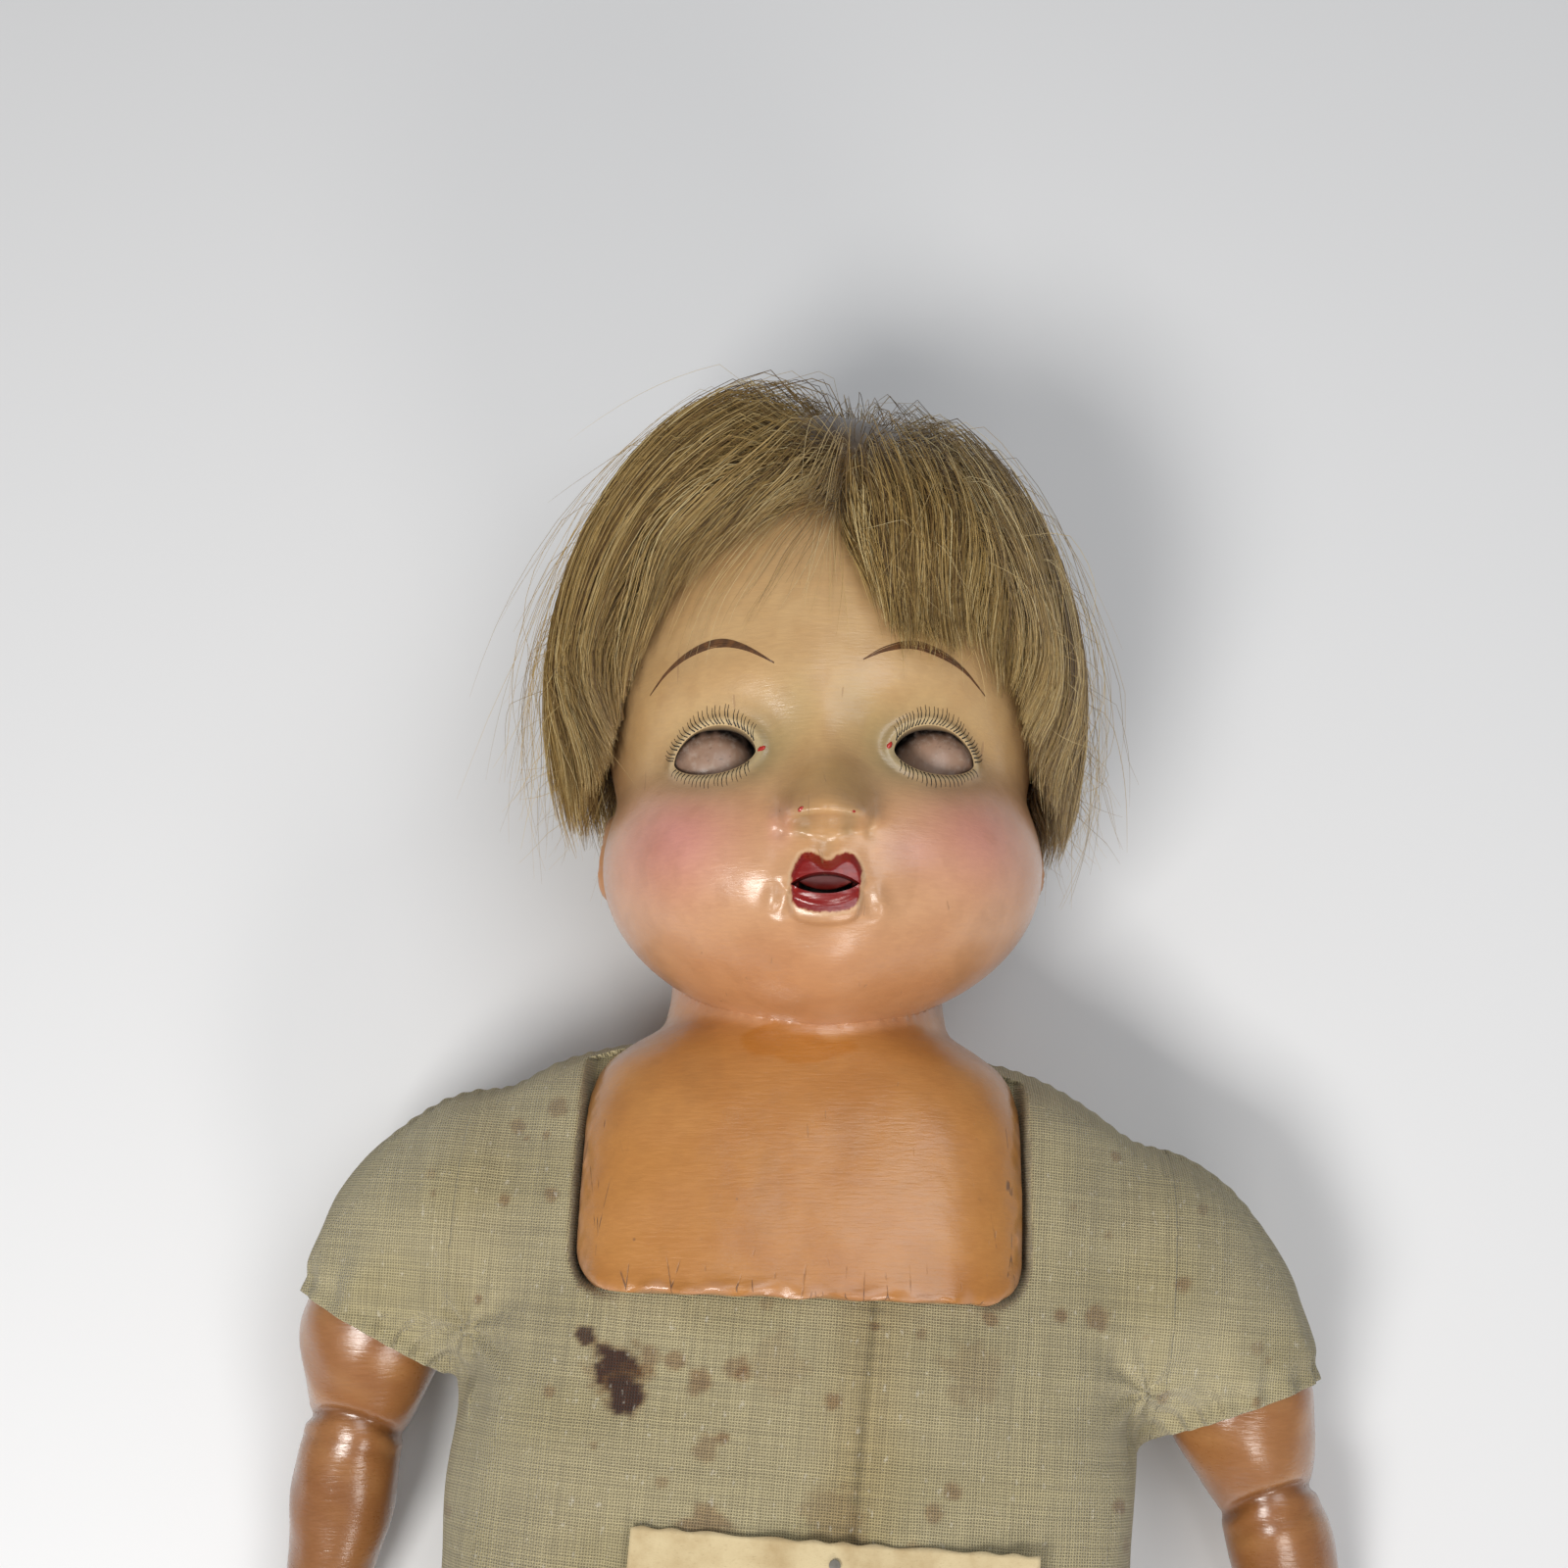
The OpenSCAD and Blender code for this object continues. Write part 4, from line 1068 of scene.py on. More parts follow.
def stroke(points, widths, lift):
    """Raised line of paint along points that lie on the face: a low ribbon with a flat top."""
    points = np.asarray(points, float)
    normals = points - HEAD_C
    normals /= np.linalg.norm(normals, axis=1, keepdims=True)
    along = np.gradient(points, axis=0)
    across = np.cross(normals, along)
    across /= np.maximum(np.linalg.norm(across, axis=1, keepdims=True), 1e-9)
    w = np.asarray(widths)[:, None] / 2
    rim, keel = normals * 0.02, normals * 0.3
    rings = np.stack([points - across * w - rim, points - across * w * 0.5 + normals * lift,
                      points + across * w * 0.5 + normals * lift, points + across * w - rim,
                      points - keel], 1)
    return rings[:, ::-1]


def strips(name, all_rings):
    """One mesh of many short skins, each an array of rings."""
    points, faces, start = [], [], 0
    for rings in all_rings:
        m, n, _ = rings.shape
        faces += ring_faces(m, n, start)
        points.append(rings.reshape(-1, 3))
        start += m * n
    return outward(make_mesh(name, np.concatenate(points), faces))


def on_face(xy):
    """Points of the face over given x and y, found by walking to the skin."""
    xy = np.asarray(xy, float)
    p = np.column_stack([xy, np.full(len(xy), 135.0)])
    for _ in range(8):
        p[:, 2] = on_head(p)[:, 2]
    return p


# Middle line of each painted brow, from the doll's right to its left
BROWS = {
    -1: [(-52.6, 225.2), (-46.5, 230.9), (-39.5, 234.6), (-31.5, 235.9), (-24.0, 233.6), (-14.9, 227.8)],
    1: [(11.2, 228.6), (18.0, 232.4), (26.0, 234.6), (34.0, 233.2), (41.5, 229.6), (48.6, 223.6)]}
BROW_STREAKS = 16


def build_lashes():
    """Black lashes painted round the eye openings, longer above, and brown brows."""
    rng = np.random.default_rng(12)
    rings = []
    samples = 400
    for side in (-1, 1):
        outline = eye_outline(side, grow=0.35, count=samples)
        top, bottom = outline[:samples], outline[samples:][::-1]
        for row, count, length, slant in ((top, 27 if side < 0 else 29, 5.4, 1), (bottom, 20, 4.2, -1)):
            step = np.hypot(*np.diff(row, axis=0).T)
            run = np.concatenate([[0], np.cumsum(step)])
            low, high = (0.09, 0.97) if slant > 0 else (0.13, 0.93)
            for k in range(count):
                s = (low + (high - low) * (k + rng.uniform(-0.18, 0.18)) / (count - 1)) * run[-1]
                i = min(np.searchsorted(run, s), len(row) - 1)
                root = row[i]
                u = (abs(root[0]) - 20) / 25
                aim = math.radians(84 - 62 * u if slant > 0 else -82 + 46 * u)
                fan = 0.62 + 0.45 * math.sin(math.pi * min(u + 0.12, 1))
                reach_out = length * fan * rng.uniform(0.88, 1.1)
                t = np.linspace(0, 1, 5)
                bend = aim - 0.55 * slant * (0.5 - t)
                path = root + np.stack([side * np.cos(bend), np.sin(bend)], 1) * (reach_out * t)[:, None]
                width = 0.6 * (1 - t * 0.8) * rng.uniform(0.8, 1.15)
                rings.append(stroke(on_face(path), width, 0.1))
    lashes = strips("lashes", rings)
    dress(lashes, "lash_ink")
    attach(lashes, "root")
    arcs = []
    for side, spots in BROWS.items():
        spots = np.array(spots)
        t = np.linspace(0, 1, 40)
        knots = np.linspace(0, 1, len(spots))
        path = np.stack([hermite(np.column_stack([knots, spots]), t, k) for k in (1, 2)], 1)
        width = 2.1 * np.sin(np.pi * np.clip(t, 0.02, 0.98)) ** 0.8
        inner_first = t if side > 0 else 1 - t
        width = width * (1.1 - 0.35 * inner_first)
        arcs.append(stroke(on_face(path[1:-1]), 0.74 * width[1:-1], 0.07))
        for k in range(BROW_STREAKS):
            off = (k / (BROW_STREAKS - 1) - 0.5) * 1.25
            a, b = sorted(rng.uniform(0, 1, 2))
            a, b = max(0, a - 0.3), min(1, b + 0.3)
            part = (t >= a) & (t <= b)
            if part.sum() < 5:
                continue
            lane = path + np.stack([0 * t, off * width + 0.12 * np.sin(9 * t + k)], 1)
            taper = np.sin(np.pi * np.linspace(0.04, 0.96, part.sum())) ** 0.5
            arcs.append(stroke(on_face(lane[part]), (0.22 + 0.12 * width[part]) * taper, 0.1))
    brows = strips("brows", arcs)
    dress(brows, "brow_ink")
    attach(brows, "root")


def paint_dots():
    """Red dots of paint: one at the inner corner of each eye and one in each nostril."""
    rings = []
    for x, y, long, wide, turn in ((-18.6, 203.6, 2.6, 1.6, 25), (18.9, 204.6, 2.4, 1.5, 60),
                                   (-7.3, 180.2, 1.9, 1.2, 40), (7.6, 179.6, 1.0, 0.8, 0)):
        t = np.linspace(-1, 1, 9)
        a = math.radians(turn)
        path = np.stack([x + long / 2 * t * math.cos(a), y + long / 2 * t * math.sin(a)], 1)
        rings.append(stroke(on_face(path), wide * np.sqrt(np.clip(1 - t * t, 0.03, 1)), 0.14))
    dots = strips("red_dots", rings)
    dress(dots, "red_dot")
    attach(dots, "root")


# ------------------------------------------------------------------ sleeping eyes and mouth

EYE_OPEN = math.radians(58)    # the irises look forward once the eyes have swung this far
BALL_R, CORNEA_R = 13.6, 13.95
IRIS_R, IRIS_BACK = 6.1, 11.4
LID_WALL = 0.9
LID_SPECKS = 16


def shell_patch(name, centre, radius, wall, around, across):
    """Part of a hollow ball as a closed shell: angle round the X axis from +Z, and angle across to +-X."""
    a = np.linspace(*around, 72)[:, None]
    b = np.linspace(*across, 72)[None, :]
    outer, inner = [
        np.stack([r * np.sin(b) + 0 * a, r * np.cos(b) * np.sin(a), r * np.cos(b) * np.cos(a)], -1) + centre
        for r in (radius, radius - wall)]
    return closed_shell(name, outer, inner)


def build_eyes():
    """Lid, eyeball and iris of each eye, which all ride on the rocker."""
    rng = np.random.default_rng(3)
    for side, word in ((-1, "right"), (1, "left")):
        centre = EYE * [side, 1, 1]
        around, across = np.radians([-34, 97]), np.radians([-80, 80])
        lid = shell_patch(word + "_lid", centre, EYE_R, LID_WALL, around, across)
        p = points_of(lid)
        d = outline_distance(p[:, :2], eye_outline(side))
        tint = one_colour("997a65", p)
        # Painted shade on the lid, darker towards its top and outer side; near-black where it meets the edge
        # of the opening, a painted shadow of the rim that is partly dark paint
        shade = ease(-4.2, -0.2, d + 1.6 * ((p[:, 1] - 204) / 8) + 0.7 * side * (p[:, 0] - centre[0]) / 12)
        tint = blend_in(tint, 0.75 * shade, "5a4132")
        tint = blend_in(tint, ease(-1.6, 0.4, d), "1b1310")
        worn = ease(0.4, 1.0, waves(p, 81 + side, 5)) * 0.25
        tint = blend_in(tint, worn, "a98672")
        for _ in range(LID_SPECKS):
            spot = centre[:2] + rng.normal(size=2) * [5, 3]
            tint = blend_in(tint, 0.6 * np.exp(-((p[:, :2] - spot) ** 2).sum(1) / 0.05), "4a372b")
        tint[p[:, 1] > 214] = srgb("b3947f")
        paint(lid, "tint", tint)
        dress(lid, "lid_paint")
        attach(lid, "eyes")
        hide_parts(word + "_eyelid")

        aim = np.array([0, -math.sin(EYE_OPEN), math.cos(EYE_OPEN)])
        eyeball = ball(centre, BALL_R, 128)
        p = points_of(eyeball)
        angle = np.degrees(np.arccos(np.clip(((p - centre) / BALL_R) @ aim, -1, 1)))
        veins = ease(0.55, 0.9, waves(p, 91, 2.5)) * ease(30, 60, angle) * 0.25
        tint = blend_in(one_colour("e9e4da", p), veins, "c99a8a")
        tint = blend_in(tint, 1 - ease(26, 30, angle), "2b333b")
        paint(eyeball, "tint", tint)
        eyeball.name = eyeball.data.name = word + "_ball"
        dress(eyeball, "eye_glaze")
        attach(eyeball, "eyes")
        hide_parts(word + "_eyeball")

        up = np.array([1.0, 0, 0])
        across = np.cross(aim, up)
        radii = np.linspace(0, 1, 24) ** 0.8 * IRIS_R
        t = 2 * np.pi * np.arange(96)[:, None] / 96
        circle = np.cos(t) * up + np.sin(t) * across
        rings = [centre + aim * IRIS_BACK + IRIS_R * circle]
        for r in radii[1:][::-1]:
            rings.append(centre + aim * math.sqrt(CORNEA_R ** 2 - r * r) + r * circle)
        iris = outward(skin(word + "_iris_disc", rings))
        p = points_of(iris)
        q = p - centre
        r = np.linalg.norm(q - (q @ aim)[:, None] * aim, axis=1)
        spin = np.arctan2(q @ across, q @ up)
        rays = 0.5 + 0.28 * np.sin(19 * spin + 1.2 * np.sin(5 * spin)) + 0.22 * np.sin(47 * spin)
        tint = blend_in(one_colour("4d6a86", p), rays * 0.7, "9fb6c6")
        tint = blend_in(tint, ease(4.9, 5.9, r), "1b2530")
        tint = blend_in(tint, 1 - ease(2.1, 2.5, r), "050505")
        paint(iris, "tint", tint)
        dress(iris, "eye_glaze")
        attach(iris, "eyes")
        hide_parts(word + "_iris")


def flap_edge(x):
    """Height of the round lower edge of the mouth flap."""
    return FLAP[1] + 7.2 - np.sqrt(np.clip(14.9 ** 2 - x * x, 0, None))


def build_mouth_flap():
    """Curved red flap behind the lips, whose lower edge is rounded like a tongue."""
    half = 9.2
    x = np.linspace(-half, half, 60)[None, :]
    low = flap_edge(x)
    start = np.arcsin(np.clip((low - FLAP[1]) / FLAP_R, -1, 1))
    a = start + (np.radians(26) - start) * np.linspace(0, 1, 48)[:, None]
    layers = [np.stack([x + 0 * a, FLAP[1] + r * np.sin(a), FLAP[2] + r * np.cos(a)], -1)
              for r in (FLAP_R, FLAP_R - 1.6)]
    flap = closed_shell("tongue_flap", *layers)
    cheeks = []
    for side in (-1, 1):
        t = np.linspace(np.radians(-60), np.radians(26), 24)
        arc = [(FLAP[1] + (FLAP_R - 0.2) * math.sin(v), FLAP[2] + (FLAP_R - 0.2) * math.cos(v)) for v in t]
        outline = arc + [(FLAP[1] + 3, FLAP[2] - 1.9), (FLAP[1] - 3, FLAP[2] - 1.9)]
        rings = [[(x, y, z) for y, z in outline] for x in (side * half, side * (half - 1.5))]
        cheeks.append(outward(skin("cheek", rings)))
    flap = join("tongue_flap", [flap] + cheeks)
    p = points_of(flap)
    edge = p[:, 1] - flap_edge(p[:, 0])
    tint = one_colour("600503", p)
    # Painted highlight along the lower edge, and painted shade over the upper part under the upper lip
    tint = blend_in(tint, 0.6 * bump(edge - 0.5, 0.5), "9c2415")
    tint = blend_in(tint, 0.5 * ease(2.5, 5, edge), "4a0503")
    paint(flap, "tint", tint)
    dress(flap, "lip_paint")
    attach(flap, "mouth")
    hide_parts("mouth_flap")


# ------------------------------------------------------------------ cloth body

# Torso: y, half width, height below and above, squareness of the section
TORSO_KEYS = np.array([
    [126, 58, 32, 84, 2.2], [122, 70, 24, 92, 2.3], [116, 84, 19, 98, 2.4], [106, 98, 15, 103, 2.5],
    [90, 103, 11, 108, 2.5], [54, 104, 9, 112, 2.6], [44, 104, 0, 114, 2.5], [0, 106, -1, 115, 2.5],
    [-60, 106, -1, 114, 2.5], [-104, 102.8, 0, 104, 2.5], [-126, 95.4, 2, 80, 2.5]])
# Sleeve: centre of each ring, turn of the ring in degrees, half height, half depth
SLEEVE = np.array([
    [40, 64, 56, 0, 32, 28], [85, 64, 56, 0, 41, 34], [110, 64, 56, 0, 42, 38], [121, 60, 55, 16, 37, 35],
    [131, 50, 53, 38, 31.4, 31], [135.5, 38, 50, 56, 29.2, 28.5], [137, 27, 48, 66, 28.5, 29],
    [137.6, 22, 47, 70, 28.5, 29]])
JOINT_X, BLEND_X = 110.0, 126.0    # the shoulder seam, and where the sleeve moves wholly with the arm
SHOULDER_Y, SHOULDER_Z = 64.0, 56.0
HIP = np.array([46.0, -136.0, 36.0])
HIP_R = 31.0
HEM = SLEEVE[6]
SEAM_X, SEAM_LEAN = 18, 0.02    # the seam down the middle of the front
CLOTH_STEPS = 20


def superellipse(x, y, z, a, b, e, count):
    t = 2 * np.pi * np.arange(count) / count
    c, s = np.cos(t), np.sin(t)
    return np.stack([x + a * signed_power(c, e), np.full(count, float(y)), z - b * signed_power(s, e)], 1)


def loft_y(name, keys, ys, count, grow=0.0):
    rings = []
    for y in ys:
        a, low, high, e = [hermite(keys, y, k) for k in (1, 2, 3, 4)]
        rings.append(superellipse(0, y, (low + high) / 2, a + grow, (high - low) / 2 + grow, e, count))
    return outward(skin(name, rings))


def sleeve_loft(side, grow=0.0):
    keys = np.column_stack([np.arange(len(SLEEVE)), SLEEVE])
    rings = []
    for j in np.linspace(0, len(SLEEVE) - 1, 36):
        x, y, z, turn, height, depth = [hermite(keys, j, k) for k in range(1, 7)]
        t = -2 * np.pi * np.arange(48) / 48
        a = math.radians(turn)
        u, v = (height + grow) * np.cos(t), (depth + grow) * np.sin(t)
        rings.append(np.stack([side * (x + u * math.sin(a)), y + u * math.cos(a), z + v], 1))
    return outward(skin("sleeve", rings))


def inflate(obj, cell, cap, pressure=4.0, held=None):
    """Stuffed cloth: remade in even cells and blown up as cloth, where no point moves more than cap."""
    remesh(obj, cell)
    relax(obj, 2)
    start = points_of(obj)
    pins = obj.vertex_groups.new(name="held")
    if held is not None:
        weight = held(start)
        for level in (0.25, 0.5, 0.75, 1.0):
            chosen = np.nonzero((weight > level - 0.25) & (weight <= level))[0]
            pins.add(chosen.tolist(), level, "REPLACE")
    cloth = obj.modifiers.new("cloth", "CLOTH")
    settings = cloth.settings
    settings.quality = 5
    settings.mass = 0.3
    settings.tension_stiffness = 12
    settings.compression_stiffness = 12
    settings.shear_stiffness = 5
    settings.bending_stiffness = 0.4
    settings.use_pressure = True
    settings.uniform_pressure_force = pressure
    settings.effector_weights.gravity = 0
    settings.vertex_group_mass = "held"
    cloth.collision_settings.use_collision = False
    cloth.point_cache.frame_start = 1
    cloth.point_cache.frame_end = CLOTH_STEPS
    scene = bpy.context.scene
    for step in range(1, CLOTH_STEPS + 1):
        scene.frame_set(step)
    apply_modifiers(obj)
    obj.vertex_groups.clear()
    scene.frame_set(1)
    moved = points_of(obj) - start
    length = np.linalg.norm(moved, axis=1)
    limit = cap * np.tanh(length / cap)
    set_points(obj, start + moved * (limit / np.maximum(length, 1e-9))[:, None])
    relax(obj, 1)
    return obj


def grow_seams(p, normals):
    """Seams, gathers and slack of the sewn body, as a height along the normals, in the body's own frame."""
    x, y, z = p.T
    side = np.abs(x)
    front = ease(-0.1, 0.4, normals[:, 2])
    h = 1.1 * waves(p, 101, 70) + 0.5 * waves(p, 102, 33)
    middle = x - (SEAM_X + SEAM_LEAN * y)
    h -= front * (0.9 * bump(middle, 0.9) + 1.0 * bump(middle, 6)) * (y < 60)
    h += front * 0.28 * bump(middle, 3.5) * np.sin(y * 2 * np.pi / 4.4) * (y < 60)
    flank = z - 56 + 6 * np.sin(y / 40)
    h -= 1.0 * bump(flank, 1.0) * ease(0.6, 0.9, np.abs(normals[:, 0])) * (y < 30)
    top_line = z - (62 + 0.1 * (side - 80))
    h -= 0.8 * bump(top_line, 1.1) * ease(0.3, 0.8, normals[:, 1]) * ease(60, 75, side)
    h += 0.4 * bump(top_line, 5) * np.sin(side * 2 * np.pi / 5) * ease(0.3, 0.8, normals[:, 1])
    pit = np.hypot(side - 104, y - 30)
    angle = np.arctan2(y - 30, 104 - side)
    h += 1.3 * np.exp(-pit / 17) * np.sin(7 * angle + 0.6) * ease(-0.2, 0.3, normals[:, 2] + 0.3)
    along, around = hem_place(p)
    h += 0.9 * bump(along - 2, 7) * np.sin(19 * around + 2 * np.sin(3 * around))
    h += 0.8 * bump(along - 14, 8) * np.sin(9 * around + 1) - 1.4 * bump(along - 4.5, 2.2)
    return h


def hem_place(p):
    """Distance above the sleeve hem, and the angle round it."""
    side = np.where(p[:, 0] < 0, -1, 1)
    turn = math.radians(HEM[3])
    q = np.stack([np.abs(p[:, 0]) - HEM[0], p[:, 1] - HEM[1], p[:, 2] - HEM[2]], 1)
    along = -(q[:, 0] * math.cos(turn) - q[:, 1] * math.sin(turn))
    u = q[:, 0] * math.sin(turn) + q[:, 1] * math.cos(turn)
    return np.where(np.abs(p[:, 0]) > 100, along, 99), np.arctan2(q[:, 2], u) * side


def bisect(obj, place, normal, fill=True):
    """Cuts away the part of a mesh on the side that normal points to."""
    def cut(work):
        everything = work.verts[:] + work.edges[:] + work.faces[:]
        bmesh.ops.bisect_plane(
            work, geom=everything, plane_co=Vector(place) * MM, plane_no=Vector(normal), clear_outer=True)
        if fill:
            bmesh.ops.holes_fill(work, edges=[e for e in work.edges if e.is_boundary])

    edit(obj, cut)


def thicken(obj, wall):
    mod = obj.modifiers.new("wall", "SOLIDIFY")
    mod.thickness = wall * MM
    mod.offset = -1
    mod.use_rim = True
    return apply_modifiers(obj)


def copy_of(obj, name):
    other = link(obj.copy())
    other.data = obj.data.copy()
    other.name = other.data.name = name
    return other


def store_vectors(obj, name, vectors):
    layer = obj.data.attributes.new(name, "FLOAT_VECTOR", "POINT")
    layer.data.foreach_set("vector", vectors.astype(np.float32).ravel())


def finish_cloth(obj, p, normals):
    """Colours and weave for cloth whose points are still in the body's own frame, then its turn askew."""
    p[:, 2] = np.maximum(p[:, 2], CLOTH_GAP)
    paint(obj, "tint", cloth_tint(p, normals))
    store_vectors(obj, "weave", p * MM)
    store_vectors(obj, "facing", normals)
    set_points(obj, turn_body(p))
    dress(obj, "body_linen")


# Brown stains on the front of the body: x, y, radius, depth of colour
STAINS = [
    (-54, 23, 7.5, 1.0), (-51, 17, 6.0, 1.0), (-65, 32, 3.0, 0.95), (-24, -19, 7.0, 0.5),
    (12, -12, 9.0, 0.25), (49, 31, 9.0, 0.22), (-8, 29, 8.0, 0.18), (-30, 22, 3.4, 0.55),
    (-45, 27, 3.0, 0.5), (-37, 27, 2.8, 0.5), (-20, 26, 3.2, 0.45), (86, 50, 3.4, 0.5),
    (112, 62, 2.4, 0.5), (-82, 98, 3.0, 0.4), (-94, 92, 2.4, 0.4), (-80, 72, 2.2, 0.5),
    (-60, 66, 2.4, 0.5), (45, -2, 2.4, 0.5), (40, -8, 2.6, 0.45), (-26, 4, 3.2, 0.4)]

RANDOM_SPOTS = 75


def cloth_tint(p, normals):
    """Grey-olive linen, yellower where it has aged, spotted with rust and tea, and darker on the flanks as
    painted shade.
    """
    x, y, z = p.T
    tint = one_colour("a69a78", p)
    tint = blend_in(tint, 0.5 * np.clip(0.5 + 0.6 * waves(p, 111, 120), 0, 1), "b5aa85")
    tint = blend_in(tint, 0.35 * np.clip(waves(p, 112, 45), 0, 1), "93875f")
    # Painted shade on the flanks, which face sideways
    tint = blend_in(tint, 0.4 * ease(0.2, 0.9, np.abs(normals[:, 0])), "8b805d")
    middle = x - (SEAM_X + SEAM_LEAN * y)
    tint = blend_in(tint, 0.3 * bump(middle, 8) * (normals[:, 2] > 0), "96793f")
    tint = blend_in(tint, 0.55 * bump(middle, 0.8) * (normals[:, 2] > 0), "5f553a")
    front = ease(0.0, 0.4, normals[:, 2])
    rng = np.random.default_rng(8)
    spots = list(STAINS)
    for _ in range(RANDOM_SPOTS):
        sx, sy = rng.uniform(-150, 150), rng.uniform(-125, 112)
        spots.append((sx, sy, rng.uniform(0.8, 2.3), rng.uniform(0.25, 0.6)))
    wobble = 0.22 * waves(p, 121, 7) + 0.12 * waves(p, 122, 3)
    for sx, sy, r, depth in spots:
        d = np.hypot(x - sx, y - sy) / r + wobble
        near = d < 2
        share = np.zeros(len(p))
        share[near] = (1 - ease(0.75, 1.15, d[near])) * front[near]
        tint = blend_in(tint, share * depth, "6a3c14" if depth < 0.9 else "3a1d08")
        if depth >= 0.4:
            ring = bump(d - 1.05, 0.12) * front * near
            tint = blend_in(tint, 0.35 * ring * depth, "7a5524")
    return tint


def tuck_under_plate(p):
    """Keeps the cloth just under the shoulder plate where the plate covers it."""
    flat = turn_body(p)
    edge, place = plate_edge_distance(flat)
    half, inner, square = [hermite(PLATE_KEYS, np.clip(place[:, 1], 44, 130), k) for k in (1, 3, 4)]
    half = half - WALL
    inner = inner - WALL - CLOTH_WALL
    mid = 58.0
    ratio = np.clip(np.abs(place[:, 0]) / half, 0, 0.985)
    roof = mid + (inner - mid) * (1 - ratio ** square) ** (1 / square)
    covered = (edge > -3) & (p[:, 2] > 80) & (place[:, 1] < 150)
    share = ease(-3, 1, edge)
    over = np.clip(p[:, 2] - roof, 0, None) * covered
    p[:, 2] -= over * share
    return p


def build_cloth_body():
    """Stuffed body and sleeves blown up as one piece of cloth, then parted at the shoulders."""
    ys = np.concatenate([np.linspace(126, 100, 12), np.linspace(96, -100, 50), np.linspace(-104, -126, 8)])
    core = loft_y("torso", TORSO_KEYS, ys, 96, grow=-1.0)
    x_hip = [-300, HIP[1], HIP[2]], [300, HIP[1], HIP[2]]
    body = join("cloth_body", [core, sleeve_loft(-1, -0.6), sleeve_loft(1, -0.6)])
    remesh(body, 3.5)
    boolean(body, rod(*x_hip, HIP_R + 1.6, 64))
    boolean(body, block((-300, -400, -100), (300, -121, 300)))
    wedge = [(-300, -400, 36), (-300, -103, 36), (-300, -40, 246), (-300, -400, 246)]
    boolean(body, outward(skin("wedge", [wedge, [(300, y, z) for _, y, z in wedge]])))

    def held(p):
        seam = 0.45 * bump(p[:, 0] - SEAM_X, 4) * (p[:, 2] > 60) * (p[:, 1] < 55)
        flank = 0.5 * bump(p[:, 2] - 56, 5) * (np.abs(p[:, 0]) > 90) * (p[:, 1] < 30)
        along, _ = hem_place(p)
        ends = np.maximum(1 - ease(4, 14, along), 1 - ease(-118, -100, p[:, 1]))
        ends = np.maximum(ends, ease(112, 120, p[:, 1]))
        return np.clip(seam + flank + ends, 0, 1)

    inflate(body, 4.5, 5.0, held=held)
    subdivide(body, 2)
    p, normals = points_of(body), normals_of(body)
    p += normals * grow_seams(p, normals)[:, None]
    p[:, 2] = np.maximum(p[:, 2], -0.6 + 0.25 * waves(p, 131, 25))
    p = tuck_under_plate(p)
    set_points(body, p)
    sleeves = {}
    for side, word in ((-1, "right"), (1, "left")):
        sleeve = copy_of(body, word + "_sleeve_cloth")
        bisect(sleeve, (side * JOINT_X, 0, 0), (-side, 0, 0), fill=False)
        turn = math.radians(HEM[3])
        past_hem = (side * math.cos(turn), -math.sin(turn), 0)
        bisect(sleeve, (side * HEM[0], HEM[1], HEM[2]), past_hem, fill=False)
        thicken(sleeve, CLOTH_WALL)
        sleeves[side] = sleeve
    for side in (-1, 1):
        bisect(body, (side * JOINT_X, 0, 0), (side, 0, 0))
    for obj in (body, *sleeves.values()):
        finish_cloth(obj, points_of(obj), normals_of(obj))
    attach(body, "root")
    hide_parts("torso_cloth", "torso_stuffing")
    for side, word in ((-1, "right"), (1, "left")):
        start = turn_body(np.array([side * JOINT_X, SHOULDER_Y, SHOULDER_Z])) * MM
        end = turn_body(np.array([side * BLEND_X, SHOULDER_Y, SHOULDER_Z])) * MM
        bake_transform(sleeves[side])
        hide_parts(word + "_sleeve", word + "_sleeve_stuffing")


# Thigh, leg and arm: distance down the limb, height of the middle, half width, half depth
THIGH_KEYS = np.array([[0, 36, 38, 31], [20, 38, 41, 35], [50, 39, 39.5, 37], [72, 37.6, 36.6, 36],
                       [80, 37.2, 34.6, 34.2], [90, 37, 36.2, 35.8]])
LEG_KEYS = np.array([
    [74, 37, 27, 26.5], [84, 37, 33, 32.5], [100, 37, 34.5, 34], [122, 35, 33.5, 34], [132, 34, 31, 32],
    [150, 34, 33, 33], [180, 33, 31, 31.5], [210, 30, 25.5, 27], [234, 28, 21, 24], [250, 27, 21, 25],
    [262, 27, 22, 26], [272, 27, 20, 23], [277, 27, 13, 15]])


